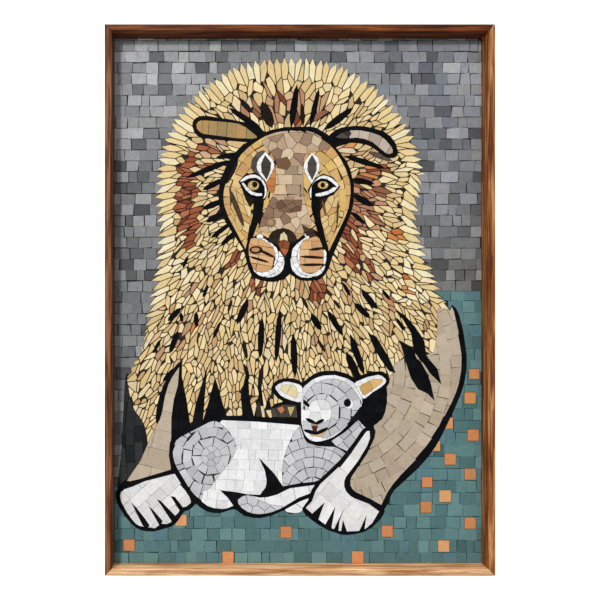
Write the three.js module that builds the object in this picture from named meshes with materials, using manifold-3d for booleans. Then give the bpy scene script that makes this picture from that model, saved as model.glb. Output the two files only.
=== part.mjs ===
// Framed stone mosaic of a lion with a lamb between its paws, made to hang on a wall.
// Millimetres, +Z up, +X to the viewer's right. The picture faces -Y and the back of the panel lies at y = 0.
// The origin is the middle of the backing board's back face.
import * as THREE from "three";
import { mergeVertices } from "three/addons/utils/BufferGeometryUtils.js";
import Module from "manifold-3d";

// Overall frame
const panelWidth = 500;
const panelHeight = 706;
const railFace = 9;
const railDepth = 40;
const railEdgeChamfer = 0.8;
const mitreGap = 0.3;

// Layers inside the frame, from the back to the front
const boardThickness = 9;
const bedThickness = 1.7;
const stoneThickness = 5;
const layerGap = 0.3;
const boardClearance = 0.4;
const fieldClearance = 0.8;

// Joints between areas of stone, and how far an outline may run from the drawn curve
const joint = 0.4;
const outlineTolerance = 0.6;

// Mane fringe: one pointed stone after another around the head
const fringePitch = 9.6;
const fringeNotch = 10.5;
const fringeNotchLow = 3;

const openingWidth = panelWidth - 2 * railFace;
const openingHeight = panelHeight - 2 * railFace;
const fieldHalfWidth = openingWidth / 2 - fieldClearance;
const fieldHalfHeight = openingHeight / 2 - fieldClearance;
const bedBack = boardThickness + layerGap;
const stoneBack = bedBack + bedThickness + layerGap;

// The picture is drawn in thousandths of the stone field: x of its half width, z of its half height
function placed([x, z]) {
  return new THREE.Vector3((x / 1000) * fieldHalfWidth, (z / 1000) * fieldHalfHeight, 0);
}

// A curve through drawn points
function curve(points, closed) {
  const path = new THREE.CatmullRomCurve3(points.map(placed), closed, "catmullrom", 0.5);
  const steps = (closed ? points.length : points.length - 1) * 8;
  const found = path.getPoints(steps).map((p) => new THREE.Vector2(p.x, p.y));
  if (closed) {
    found.pop();
  }
  return found;
}

// The same line with the points left out that lie within the tolerance of it
function thinned(points) {
  const first = points[0];
  const last = points[points.length - 1];
  const along = last.clone().sub(first);
  const length = along.length() || 1;
  let widest = 0;
  let index = 0;
  points.forEach((p, i) => {
    const off = Math.abs(along.x * (p.y - first.y) - along.y * (p.x - first.x)) / length;
    if (off > widest) {
      widest = off;
      index = i;
    }
  });
  if (widest <= outlineTolerance) {
    return [first, last];
  }
  return [...thinned(points.slice(0, index + 1)).slice(0, -1), ...thinned(points.slice(index))];
}

// Closed outlines: round all over, with corners where runs of curve meet, and straight-sided
function rounded(points) {
  const loop = curve(points, true);
  const half = Math.floor(loop.length / 2);
  return [...thinned(loop.slice(0, half + 1)).slice(0, -1), ...thinned([...loop.slice(half), loop[0]]).slice(0, -1)];
}

function cornered(runs) {
  return runs.flatMap((run) => thinned(curve(run, false)).slice(0, -1));
}

function angular(points) {
  return points.map(placed).map((p) => new THREE.Vector2(p.x, p.y));
}

// An outline moved outward by a distance, each corner along the bisector of its two sides
function grown(loop, distance) {
  const turn = THREE.ShapeUtils.isClockWise(loop) ? -1 : 1;
  return loop.map((p, i) => {
    const a = loop[(i + loop.length - 1) % loop.length];
    const b = loop[(i + 1) % loop.length];
    const u = p.clone().sub(a).normalize();
    const v = b.clone().sub(p).normalize();
    const n = new THREE.Vector2(u.y + v.y, -u.x - v.x).multiplyScalar(turn);
    const reach = distance / Math.max(n.length() / 2, 0.35);
    return p.clone().add(n.normalize().multiplyScalar(reach));
  });
}

const wasm = await Module();
wasm.setup();

function toSolid(geometry) {
  const bare = geometry.clone();
  bare.deleteAttribute("normal");
  bare.deleteAttribute("uv");
  const merged = mergeVertices(bare, 1e-4);
  return new wasm.Manifold(new wasm.Mesh({
    numProp: 3,
    vertProperties: new Float32Array(merged.attributes.position.array),
    triVerts: new Uint32Array(merged.index.array),
  }));
}

function toGeometry(solid) {
  const mesh = solid.getMesh();
  const geometry = new THREE.BufferGeometry();
  const found = [];
  for (let i = 0; i < mesh.vertProperties.length; i += mesh.numProp) {
    found.push(mesh.vertProperties[i], mesh.vertProperties[i + 1], mesh.vertProperties[i + 2]);
  }
  geometry.setAttribute("position", new THREE.Float32BufferAttribute(found, 3));
  geometry.setIndex(Array.from(mesh.triVerts));
  geometry.computeVertexNormals();
  return geometry;
}

// A plate with the given outline in the picture plane, between two distances in front of the back
function plate(loop, from, to) {
  const shape = new THREE.Shape(loop);
  const geometry = new THREE.ExtrudeGeometry(shape, { depth: to - from, bevelEnabled: false });
  geometry.rotateX(Math.PI / 2);
  geometry.translate(0, -from, 0);
  return toSolid(geometry);
}

function stones(loops, margin) {
  const reach = margin > 0 ? 1 : 0;
  return loops
    .map((loop) => plate(margin > 0 ? grown(loop, margin) : loop, stoneBack - reach, stoneBack + stoneThickness + reach))
    .reduce((all, next) => all.add(next));
}

// Picture outlines, as drawn points from the middle of the field
// Lion, body and legs
const charcoal = rounded([
    [-933, -280], [-945, -348], [-951, -456], [-960, -570], [-976, -661], [-976, -723],
    [-899, -699], [-806, -647], [-751, -555], [-795, -487], [-872, -433], [-899, -372],
    [-910, -303],
  ]);
const rightLegLine = cornered([
  [
    [720, 3], [831, -13], [874, -47], [901, -119], [920, -219], [912, -296], [883, -364],
    [824, -456], [751, -555], [670, -628], [575, -691], [518, -728], [487, -777],
    [454, -814],
  ],
  [
    [454, -814], [296, -753], [219, -692], [383, -494], [514, -272], [720, 3],
  ],
]);
const rightLeg = cornered([
  [
    [733, -1], [808, -10], [843, -28], [868, -93], [885, -169], [893, -226], [885, -291],
    [856, -360], [795, -447], [724, -532], [645, -605], [550, -673], [495, -723],
    [454, -779],
  ],
  [
    [454, -779], [404, -760], [339, -742], [289, -715], [277, -680], [306, -635],
    [356, -577], [404, -517], [416, -475],
  ],
  [
    [416, -475], [464, -447], [487, -386], [481, -334], [498, -280], [541, -195],
  ],
  [
    [541, -195], [666, -150], [733, -1],
  ],
]);
const leftLegLine = rounded([
    [-633, -237], [-687, -267], [-731, -322], [-762, -386], [-774, -447], [-762, -517],
    [-806, -616], [-949, -689], [-976, -723], [-889, -715], [-751, -685], [-664, -673],
    [-664, -593], [-660, -456], [-643, -348],
  ]);
const leftLeg = cornered([
  [
    [-647, -253], [-697, -306], [-724, -364], [-747, -444], [-795, -508], [-856, -608],
    [-937, -692],
  ],
  [
    [-937, -692], [-862, -680], [-768, -659], [-691, -644],
  ],
  [
    [-691, -644], [-704, -589], [-691, -524], [-691, -456], [-677, -379], [-654, -322],
    [-647, -253],
  ],
]);

// Mane: outer edge from right to left over the head, then the sides and the covered lower edge
const maneOuter = [
  [831, -23], [781, 34], [733, 121], [683, 217], [656, 304], [662, 392], [689, 469],
  [666, 557], [622, 644], [547, 724], [460, 797], [366, 845], [269, 889], [131, 919],
  [-31, 927], [-196, 919], [-327, 900], [-441, 858], [-533, 809], [-610, 755], [-687, 682],
  [-747, 575], [-774, 460], [-774, 347], [-762, 251], [-779, 137], [-801, 34], [-835, -93],
  [-856, -176], [-899, -242], [-933, -296],
];
const maneLeftLow = [
  [-933, -296], [-916, -360], [-893, -414], [-849, -456], [-828, -497], [-820, -548],
];
const maneLow = [
  [-820, -548], [-751, -532], [-664, -517], [-533, -487], [12, -471], [514, -280],
];
const maneRight = [
  [514, -280], [525, -242], [579, -219], [649, -195], [720, -219], [749, -169], [762, -82], [760, -32],
  [831, -23],
];

// Dark gaps between the locks of the mane
const darkGap = angular([
    [-691, -348], [-637, -280], [-610, -372], [-583, -494], [-556, -395], [-495, -253],
    [-512, -395], [-518, -459], [-489, -395], [-452, -296], [-431, -341], [-402, -417],
    [-387, -444], [-300, -447], [-310, -364], [-273, -249], [-266, -372], [-239, -444],
    [-223, -395], [-202, -318], [-189, -395], [-179, -425], [-162, -364], [-146, -409],
    [-125, -395], [-75, -386], [12, -395], [33, -501], [-260, -501], [-533, -517], [-687, -555],
  ]);
const lockGapA = angular([
    [535, -32], [595, -66], [639, -101], [689, -154], [733, -211], [760, -261],
    [781, -318], [726, -280], [683, -237], [656, -192], [618, -124], [579, -77],
  ]);
const lockGapB = angular([
    [558, -154], [618, -176], [666, -230], [706, -280], [726, -322], [743, -379], [706, -353],
    [656, -337], [618, -296], [591, -237],
  ]);
const lockGapC = angular([
    [383, -124], [427, -138], [470, -188], [504, -230], [531, -275], [498, -268], [454, -226],
    [420, -185],
  ]);

// Lamb
const lambLine = [rounded([
    [-697, -543], [-664, -508], [-589, -484], [-518, -456], [-414, -440], [-196, -444],
    [12, -453], [175, -478], [356, -471], [416, -487], [373, -539], [302, -624], [235, -673],
    [121, -718], [60, -769], [12, -807], [-44, -814], [-81, -800], [-142, -819], [-216, -829],
    [-294, -819], [-348, -795], [-425, -810], [-506, -800], [-572, -760], [-627, -708],
    [-677, -638], [-697, -589],
  ]),
rounded([
    [0, -353], [17, -323], [56, -296], [110, -274], [181, -267], [252, -275], [306, -296],
    [346, -323], [366, -364], [360, -402], [329, -440], [269, -494], [192, -536], [104, -552],
    [40, -536], [4, -487], [-2, -417],
  ]),
rounded([
    [-144, -334], [-125, -310], [-75, -297], [-10, -300], [33, -326], [33, -390], [-27, -395],
    [-92, -379], [-133, -354],
  ]),
rounded([
    [289, -306], [339, -287], [400, -274], [460, -271], [500, -297], [483, -329], [433, -355],
    [360, -386], [316, -348],
  ]),
rounded([
    [329, -372], [383, -341], [448, -306], [483, -334], [483, -386], [460, -444], [416, -475],
    [366, -484], [316, -452], [312, -409],
  ]),
];
const lambBody = cornered([
  [
    [-414, -456], [-300, -459], [-196, -463], [12, -475],
  ],
  [
    [12, -475], [-10, -532], [-54, -616], [-71, -711],
  ],
  [
    [-71, -711], [-125, -730], [-196, -740], [-273, -739], [-337, -730], [-425, -723],
  ],
  [
    [-425, -723], [-381, -753], [-352, -782],
  ],
  [
    [-352, -782], [-398, -794], [-458, -791], [-502, -779], [-529, -758], [-556, -685],
    [-506, -532], [-414, -456],
  ],
]);
const lambHaunch = rounded([
    [-677, -555], [-654, -527], [-589, -503], [-518, -475], [-452, -459], [-398, -484],
    [-354, -524], [-337, -562], [-364, -608], [-402, -642], [-445, -677], [-475, -711],
    [-518, -728], [-529, -758], [-577, -730], [-620, -685], [-664, -631], [-681, -589],
  ]);
const lambChest = cornered([
  [
    [12, -475], [-31, -520], [-65, -577], [-85, -638], [-81, -708],
  ],
  [
    [-81, -708], [12, -696], [100, -689], [175, -661], [241, -624], [266, -586],
  ],
  [
    [266, -586], [202, -558], [110, -555], [44, -536], [12, -475],
  ],
]);
const lambNeck = cornered([
  [
    [175, -539], [258, -501], [329, -456],
  ],
  [
    [329, -456], [377, -490],
  ],
  [
    [377, -490], [329, -532], [269, -574],
  ],
  [
    [269, -574], [219, -558], [175, -539],
  ],
]);
const lambForeleg = cornered([
  [
    [-337, -758], [-277, -742], [-196, -752], [-114, -740], [-54, -718], [23, -709], [104, -702],
  ],
  [
    [104, -702], [83, -730], [12, -749], [-44, -772], [-98, -795], [-162, -810], [-229, -814],
    [-294, -800], [-337, -758],
  ],
]);
const lambHoof = rounded([
    [-327, -760], [-277, -742], [-216, -758], [-152, -779], [-81, -785], [-129, -803],
    [-196, -814], [-260, -809], [-310, -788],
  ]);
const lambFoot = rounded([
    [73, -753], [12, -766], [-44, -788], [-71, -800], [-37, -810], [12, -807], [44, -784],
  ]);
const bellyWedge = cornered([
  [
    [-212, -600], [-179, -647], [-169, -689], [-179, -718], [-206, -742],
  ],
  [
    [-206, -742], [-135, -730], [-81, -711],
  ],
  [
    [-81, -711], [-129, -661], [-212, -600],
  ],
]);
const lambHead = rounded([
    [17, -354], [33, -329], [73, -304], [127, -288], [187, -283], [246, -291], [302, -310],
    [333, -337], [350, -372], [346, -402], [312, -437], [258, -484], [187, -522], [104, -538], [50, -522],
    [23, -482], [17, -417],
  ]);
const lambFace = rounded([
    [31, -372], [56, -339], [100, -313], [154, -300], [202, -299], [252, -309], [289, -329],
    [323, -360], [346, -390], [323, -421], [262, -475], [192, -513], [131, -524], [164, -487],
    [181, -447], [181, -398], [148, -377], [110, -376], [73, -386], [50, -417],
    [29, -409],
  ]);
const lambEarLeft = rounded([
    [-123, -329], [-100, -316], [-65, -309], [-15, -315], [23, -331], [21, -383], [-27, -382],
    [-85, -366], [-114, -345],
  ]);
const lambEarLeftIn = rounded([
    [-92, -331], [-65, -321], [-27, -323], [-6, -337], [-6, -370], [-48, -361],
    [-81, -347],
  ]);
const lambEarRight = rounded([
    [310, -315], [350, -300], [400, -287], [448, -284], [481, -304], [460, -326],
    [410, -348], [358, -374], [333, -345],
  ]);
const lambEarRightIn = rounded([
    [337, -328], [373, -312], [410, -300], [454, -300], [460, -310], [416, -335], [364, -360],
    [348, -345],
  ]);

// Paws, and the dark slits between the toes
const rightPawLine = rounded([
    [373, -484], [418, -490], [416, -524], [389, -567], [354, -608], [314, -647], [287, -679],
    [287, -708], [312, -730], [356, -746], [410, -763], [470, -795], [456, -826], [412, -860],
    [350, -884], [262, -893], [192, -883], [121, -858], [60, -826], [25, -797], [56, -763],
    [75, -723], [108, -689], [148, -663], [198, -632], [244, -597], [287, -558], [325, -522],
    [348, -497],
  ]);
const rightPaw = cornered([
  [
    [391, -497], [393, -524], [368, -567], [333, -606], [294, -644], [258, -677], [252, -708],
    [269, -734], [302, -752], [346, -763], [393, -778], [443, -804],
  ],
  [
    [443, -804], [400, -852], [346, -876], [258, -881], [192, -871], [131, -845], [77, -810],
    [44, -791],
  ],
  [
    [44, -791], [77, -765], [96, -727], [127, -696], [164, -673], [214, -642],
    [262, -605], [306, -567], [346, -527], [373, -500], [391, -497],
  ],
]);
const rightSlits = [angular([
    [144, -771], [110, -835], [75, -816],
  ]),
angular([
    [202, -790], [179, -876], [144, -862],
  ]),
angular([
    [258, -785], [225, -841], [219, -884], [192, -880],
  ]),
angular([
    [246, -839], [269, -887], [235, -887],
  ]),
angular([
    [373, -820], [360, -881], [333, -884],
  ]),
];
const leftPawLine = rounded([
    [-980, -718], [-889, -693], [-779, -669], [-687, -647], [-647, -669], [-610, -711],
    [-572, -749], [-564, -777], [-593, -797], [-620, -803], [-643, -829], [-687, -860],
    [-751, -874], [-801, -880], [-872, -870], [-937, -826], [-980, -777], [-993, -742],
  ]);
const leftPaw = cornered([
  [
    [-964, -724], [-899, -709], [-835, -689], [-762, -677], [-714, -666],
    [-672, -660],
  ],
  [
    [-672, -660], [-647, -689], [-616, -723], [-589, -753], [-585, -772], [-608, -785],
    [-637, -790], [-652, -809], [-672, -822], [-687, -841], [-714, -852], [-747, -851],
    [-779, -868], [-812, -864], [-849, -862], [-883, -851], [-926, -814], [-960, -772],
    [-970, -746], [-964, -724],
  ],
]);
const leftSlits = [angular([
    [-691, -747], [-672, -749], [-627, -790], [-643, -801],
  ]),
angular([
    [-766, -759], [-747, -766], [-687, -809], [-660, -829], [-687, -841],
  ]),
angular([
    [-812, -785], [-793, -797], [-739, -841], [-751, -860],
  ]),
angular([
    [-905, -774], [-885, -788], [-839, -828], [-810, -857], [-822, -871], [-845, -857],
  ]),
];

// Lion's head
const headLine = [rounded([
    [12, 663], [94, 660], [181, 622], [237, 564], [281, 507], [304, 446], [304, 385],
    [289, 335], [254, 274], [214, 208], [187, 168], [164, 118], [121, 83], [67, 76], [12, 79],
    [-27, 95], [-44, 103], [-71, 87], [-119, 73], [-185, 76], [-239, 90], [-269, 125],
    [-283, 168], [-300, 201], [-352, 255], [-416, 331], [-433, 404], [-414, 476], [-356, 552],
    [-287, 602], [-185, 641], [-85, 660],
  ]),
rounded([
    [-162, 635], [-229, 660], [-304, 682], [-435, 698], [-518, 705], [-562, 693], [-575, 667],
    [-558, 637], [-518, 622], [-398, 612], [-287, 608], [-196, 606],
  ]),
rounded([
    [154, 613], [202, 648], [258, 663], [339, 666], [420, 656], [479, 641], [522, 612],
    [541, 580], [543, 557], [518, 545], [479, 549], [437, 570], [393, 591], [329, 602],
    [258, 602], [198, 594],
  ]),
];
const earLeft = rounded([
    [-545, 682], [-512, 688], [-398, 682], [-316, 673], [-260, 648], [-223, 622], [-287, 618],
    [-398, 625], [-506, 635], [-541, 648], [-554, 666],
  ]);
const earRight = rounded([
    [208, 625], [262, 647], [339, 650], [416, 638], [464, 622], [504, 593], [518, 571],
    [508, 561], [481, 562], [448, 580], [400, 608], [329, 622], [262, 619],
  ]);
const face = cornered([
  [
    [-283, 194], [-331, 259], [-391, 339], [-406, 404], [-381, 472], [-327, 541], [-266, 587],
    [-173, 629], [-81, 647], [12, 650], [83, 642], [154, 610], [214, 561], [260, 503],
    [285, 446], [285, 389], [271, 342], [235, 286], [198, 232], [167, 186],
  ],
  [
    [167, 186], [131, 248], [44, 286], [-75, 300], [-196, 286], [-250, 248], [-283, 194],
  ],
]);
const bridge = rounded([
    [-196, 610], [-85, 637], [12, 642], [100, 629], [175, 587], [121, 571], [60, 568], [29, 538],
    [29, 441], [40, 366], [73, 300], [50, 259], [-15, 259], [-81, 278], [-146, 262], [-202, 267],
    [-202, 304], [-162, 366], [-125, 422], [-119, 500], [-129, 545], [-162, 580],
  ]);
const cheekLeft = cornered([
  [
    [-239, 392], [-189, 392], [-194, 339], [-212, 286], [-244, 229], [-283, 194],
  ],
  [
    [-283, 194], [-266, 262], [-244, 328], [-239, 392],
  ],
]);
const cheekRight = cornered([
  [
    [77, 396], [114, 389], [119, 331], [137, 270], [167, 186],
  ],
  [
    [167, 186], [127, 217], [100, 286], [75, 354], [77, 396],
  ],
]);
const muzzleLine = rounded([
    [-283, 201], [-266, 239], [-229, 264], [-185, 262], [-129, 242], [-75, 239], [-10, 243], [33, 259],
    [83, 264], [131, 248], [164, 205], [171, 147], [148, 106], [87, 79], [12, 79], [-44, 102],
    [-98, 79], [-173, 76], [-239, 90], [-269, 125], [-283, 168],
  ]);
const rimLeft = cornered([
  [
    [-223, 248], [-206, 255], [-185, 245], [-142, 229], [-98, 198], [-75, 159], [-79, 125],
    [-102, 102], [-152, 89], [-206, 95], [-239, 112],
  ],
  [
    [-239, 112], [-256, 147], [-260, 201], [-223, 248],
  ],
]);
const muzzleLeft = rounded([
    [-256, 236], [-216, 237], [-173, 224], [-135, 201], [-123, 168], [-135, 133], [-162, 114],
    [-202, 108], [-237, 118], [-258, 147], [-269, 194],
  ]);
const rimRight = cornered([
  [
    [56, 248], [40, 253], [12, 239], [-21, 217], [-37, 186], [-40, 147], [-27, 114], [17, 90],
    [77, 89], [127, 103], [152, 137], [156, 182], [148, 194],
  ],
  [
    [148, 194], [110, 224], [56, 248],
  ],
]);
const muzzleRight = rounded([
    [23, 224], [60, 237], [100, 245], [123, 229], [139, 186], [137, 144], [114, 118], [73, 103],
    [29, 112], [12, 140], [12, 189],
  ]);
const nose = cornered([
  [
    [-162, 224], [-150, 255], [-114, 272], [-75, 275], [-37, 267], [-10, 245], [-10, 224],
  ],
  [
    [-10, 224], [-44, 219], [-54, 186], [-71, 163], [-90, 186], [-114, 217], [-162, 224],
  ],
]);
const eyeLeft = rounded([
    [-316, 450], [-283, 475], [-233, 481], [-189, 460], [-169, 422], [-185, 390], [-229, 395],
    [-277, 409],
  ]);
const eyeRight = rounded([
    [223, 436], [187, 466], [137, 478], [94, 459], [65, 422], [73, 390], [127, 395],
    [187, 408],
  ]);
const tearLeft = cornered([
  [
    [-177, 568], [-212, 541], [-225, 510], [-206, 481], [-171, 453],
  ],
  [
    [-171, 453], [-142, 488], [-129, 519], [-146, 545], [-177, 568],
  ],
]);
const tearRight = cornered([
  [
    [77, 565], [110, 545], [119, 514], [104, 481], [75, 447],
  ],
  [
    [75, 447], [44, 481], [31, 510], [44, 539], [77, 565],
  ],
]);

// The mane's outer edge as points and notches: each stone of the fringe ends in a point on the curve
function fringe(points) {
  const edge = new THREE.CatmullRomCurve3(points.map(placed), false, "catmullrom", 0.5);
  const count = Math.round(edge.getLength() / fringePitch);
  const found = [];
  for (let i = 0; i < count; i += 1) {
    const wander = 0.18 * Math.sin(i * 2.4) + 0.12 * Math.sin(i * 5.1);
    const tip = edge.getPointAt(THREE.MathUtils.clamp((i + 0.5 + wander) / count, 0, 1));
    const at = (i + 1) / count;
    const base = edge.getPointAt(Math.min(at, 1));
    const along = edge.getTangentAt(Math.min(at, 1));
    const fade = Math.max(THREE.MathUtils.smoothstep(at, 0.86, 1), 1 - THREE.MathUtils.smoothstep(at, 0, 0.03));
    const depth = THREE.MathUtils.lerp(fringeNotch * (1 + 0.15 * Math.sin(i * 3.7)), fringeNotchLow, fade);
    found.push(new THREE.Vector2(tip.x, tip.y));
    found.push(new THREE.Vector2(base.x - along.y * depth, base.y + along.x * depth));
  }
  return found;
}

const mane = [
  ...fringe(maneOuter),
  ...thinned(curve(maneLeftLow, false)).slice(0, -1),
  ...thinned(curve(maneLow, false)).slice(0, -1),
  ...thinned(curve(maneRight, false)).slice(0, -1),
];

// The whole field, and the blue-green ground, which stands higher on the right than on the left
const background = angular([[-1000, -1000], [1000, -1000], [1000, 1000], [-1000, 1000]]);
const ground = angular([[-1000, -1000], [1000, -1000], [1000, 36], [0, 36], [0, -711], [-1000, -711]]);

function material(color, roughness) {
  return new THREE.MeshStandardMaterial({ color, roughness, metalness: 0 });
}

const railWood = material("#8b4f2d", 0.45);
const plywood = material("#b58a5a", 0.8);
const bedding = material("#2b2724", 0.95);
const greyStone = material("#8c8d90", 0.7);
const tealStone = material("#4f7f80", 0.65);
const blackStone = material("#17181c", 0.55);
const charcoalStone = material("#363837", 0.6);
const tanStone = material("#a89172", 0.7);
const creamStone = material("#e2c486", 0.65);
const ochreStone = material("#d3a763", 0.65);
const brownStone = material("#b0906f", 0.7);
const whiteStone = material("#e6e6e3", 0.6);
const paleGreyStone = material("#b9b9bc", 0.7);
const khakiStone = material("#a98850", 0.7);
const pinkStone = material("#b5a493", 0.7);
const orangeStone = material("#c98f55", 0.65);

// Areas from the bottom layer of the drawing to the top one. An area is cut by every later one of another name.
const areas = [
  ["grey_background", greyStone, [background]],
  ["teal_ground", tealStone, [ground]],
  ["figure_outline", blackStone, [rightLegLine]],
  ["lion_right_leg", tanStone, [rightLeg]],
  ["left_shadow", charcoalStone, [charcoal]],
  ["mane", creamStone, [mane]],
  ["mane_gap_upper", blackStone, [lockGapA]],
  ["mane_gap_lower", blackStone, [lockGapB]],
  ["figure_outline", blackStone, [lockGapC, darkGap, leftLegLine]],
  ["lion_left_leg", tanStone, [leftLeg]],
  ["figure_outline", blackStone, lambLine],
  ["lamb_body", whiteStone, [lambBody]],
  ["lamb_haunch", paleGreyStone, [lambHaunch]],
  ["lamb_chest", paleGreyStone, [lambChest]],
  ["lamb_neck", paleGreyStone, [lambNeck]],
  ["figure_outline", blackStone, [bellyWedge]],
  ["lamb_foreleg", whiteStone, [lambForeleg]],
  ["lamb_hoof", paleGreyStone, [lambHoof]],
  ["lamb_foot", whiteStone, [lambFoot]],
  ["lamb_head", whiteStone, [lambHead]],
  ["lamb_face", paleGreyStone, [lambFace]],
  ["lamb_ear_left", whiteStone, [lambEarLeft]],
  ["lamb_ear_left_inner", creamStone, [lambEarLeftIn]],
  ["lamb_ear_right", whiteStone, [lambEarRight]],
  ["lamb_ear_right_inner", ochreStone, [lambEarRightIn]],
  ["figure_outline", blackStone, [rightPawLine, leftPawLine]],
  ["lion_right_paw", whiteStone, [rightPaw], rightSlits],
  ["lion_left_paw", whiteStone, [leftPaw], leftSlits],
  ["head_outline", blackStone, headLine],
  ["lion_ear_left", khakiStone, [earLeft]],
  ["lion_ear_right", pinkStone, [earRight]],
  ["lion_face", ochreStone, [face]],
  ["lion_nose_bridge", brownStone, [bridge]],
  ["head_outline", blackStone, [cheekLeft, cheekRight, muzzleLine]],
  ["muzzle_rim_left", whiteStone, [rimLeft]],
  ["muzzle_rim_right", whiteStone, [rimRight]],
  ["muzzle_left", orangeStone, [muzzleLeft]],
  ["muzzle_right", orangeStone, [muzzleRight]],
  ["lion_nose", blackStone, [nose]],
  ["lion_eye_left", whiteStone, [eyeLeft]],
  ["lion_eye_right", whiteStone, [eyeRight]],
  ["brow_mark_left", whiteStone, [tearLeft]],
  ["brow_mark_right", whiteStone, [tearRight]],
];

const panel = new THREE.Group();
panel.name = "mosaic_panel";

function addPiece(name, geometry, look) {
  const piece = new THREE.Mesh(geometry, look);
  piece.name = name;
  panel.add(piece);
  return piece;
}

// What each area leaves visible: later areas of other names cut it, grown by the joint
function visibleAreas() {
  const field = stones([background], 0);
  const covers = areas.map(([, , loops, slits]) => {
    const cover = stones(loops, joint);
    return slits ? cover.subtract(stones(slits.map((slit) => grown(slit, -joint)), joint)) : cover;
  });
  const shown = new Map();
  areas.forEach(([name, look, loops, slits], index) => {
    let solid = stones(loops, 0).intersect(field);
    if (slits) {
      solid = solid.subtract(stones(slits, joint));
    }
    areas.forEach(([other], later) => {
      if (later > index && other !== name) {
        solid = solid.subtract(covers[later]);
      }
    });
    const before = shown.get(name);
    shown.set(name, { look, solid: before ? before.solid.add(solid) : solid });
  });
  return shown;
}

// Crumbs smaller than a cube of the stones' thickness are left out
for (const [name, { look, solid }] of visibleAreas()) {
  const pieces = solid
    .decompose()
    .filter((piece) => piece.volume() > stoneThickness ** 3)
    .sort((a, b) => b.volume() - a.volume());
  pieces.forEach((piece, index) => {
    addPiece(index === 0 ? name : `${name}_${index + 1}`, toGeometry(piece), look);
  });
}

// Backing board and the dark bed that the stones are set in
function sheet(width, height, from, thickness) {
  const geometry = new THREE.BoxGeometry(width, thickness, height);
  geometry.translate(0, -from - thickness / 2, 0);
  return geometry;
}

const boardWidth = openingWidth - 2 * boardClearance;
const boardHeight = openingHeight - 2 * boardClearance;
addPiece("backing_board", sheet(boardWidth, boardHeight, 0, boardThickness), plywood);
addPiece("adhesive_bed", sheet(boardWidth, boardHeight, bedBack, bedThickness), bedding);

// A rail with mitred ends: its section is swept along X, and each point ends on the 45 degree plane
function rail(length) {
  const inner = railFace;
  const front = railDepth;
  const section = [
    [0, 0],
    [inner, 0],
    [inner, front - railEdgeChamfer],
    [inner - railEdgeChamfer, front],
    [railEdgeChamfer, front],
    [0, front - railEdgeChamfer],
  ];
  const shape = new THREE.Shape(section.map(([across, depth]) => new THREE.Vector2(across, depth)));
  const geometry = new THREE.ExtrudeGeometry(shape, { depth: 2, bevelEnabled: false });
  const place = geometry.attributes.position;
  for (let i = 0; i < place.count; i += 1) {
    const across = place.getX(i);
    const depth = place.getY(i);
    const side = place.getZ(i) > 1 ? -1 : 1;
    const end = length / 2 - across - mitreGap * Math.SQRT1_2;
    place.setXYZ(i, side * end, -depth, -across);
  }
  return geometry;
}

// The swept section lies with its outer face up, so a turn about Y carries it to each side of the frame
const rails = [
  ["frame_rail_top", panelWidth, panelHeight / 2, 0],
  ["frame_rail_right", panelHeight, panelWidth / 2, Math.PI / 2],
  ["frame_rail_bottom", panelWidth, panelHeight / 2, Math.PI],
  ["frame_rail_left", panelHeight, panelWidth / 2, -Math.PI / 2],
];
for (const [name, length, reach, turn] of rails) {
  const holder = new THREE.Group();
  holder.rotation.y = turn;
  const piece = new THREE.Mesh(rail(length), railWood);
  piece.name = name;
  piece.position.z = reach;
  holder.add(piece);
  panel.add(holder);
}

export default panel;
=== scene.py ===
# A framed stone mosaic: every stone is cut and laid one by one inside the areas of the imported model
import itertools
import math
import time
import bpy
import numpy as np
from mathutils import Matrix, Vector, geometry


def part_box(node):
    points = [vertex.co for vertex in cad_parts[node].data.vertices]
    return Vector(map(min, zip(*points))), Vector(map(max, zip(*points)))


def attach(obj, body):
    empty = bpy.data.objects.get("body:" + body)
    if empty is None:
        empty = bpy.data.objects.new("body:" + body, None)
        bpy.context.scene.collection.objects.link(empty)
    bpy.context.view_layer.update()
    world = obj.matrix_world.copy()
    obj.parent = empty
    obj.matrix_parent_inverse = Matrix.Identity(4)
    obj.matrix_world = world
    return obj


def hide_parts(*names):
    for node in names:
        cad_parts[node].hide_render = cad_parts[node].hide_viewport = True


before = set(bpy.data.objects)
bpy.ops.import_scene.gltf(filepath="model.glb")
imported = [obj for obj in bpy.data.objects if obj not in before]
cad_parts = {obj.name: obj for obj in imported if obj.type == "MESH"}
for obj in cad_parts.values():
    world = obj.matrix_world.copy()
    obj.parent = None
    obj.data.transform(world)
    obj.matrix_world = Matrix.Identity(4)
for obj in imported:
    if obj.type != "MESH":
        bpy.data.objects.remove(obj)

startTime = time.time()
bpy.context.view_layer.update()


def say(text):
    print(f"{time.time() - startTime:6.1f} s  {text}", flush=True)


# Hex sRGB to linear: v / 12.92 where v is at most 0.04045, else ((v + 0.055) / 1.055) ** 2.4
def linear(text):
    values = np.array([int(text[i:i + 2], 16) / 255 for i in (1, 3, 5)])
    return np.where(values <= 0.04045, values / 12.92, ((values + 0.055) / 1.055) ** 2.4)


def rgba(text):
    return (*linear(text), 1.0)


def addNode(tree, kind, inputs=None, **values):
    node = tree.nodes.new(kind)
    for key, value in values.items():
        setattr(node, key, value)
    for key, value in (inputs or {}).items():
        if isinstance(value, bpy.types.NodeSocket):
            tree.links.new(value, node.inputs[key])
        else:
            node.inputs[key].default_value = value
    return node


def newMaterial(name, roughness):
    material = bpy.data.materials.new(name)
    material.use_nodes = True
    tree = material.node_tree
    shader = tree.nodes["Principled BSDF"]
    shader.inputs["Roughness"].default_value = roughness
    return material, tree, shader


def noise(tree, place, scale, detail, distortion=0.0):
    return addNode(tree, "ShaderNodeTexNoise", {"Vector": place, "Scale": scale, "Detail": detail,
                                                "Distortion": distortion}).outputs["Fac"]


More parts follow.
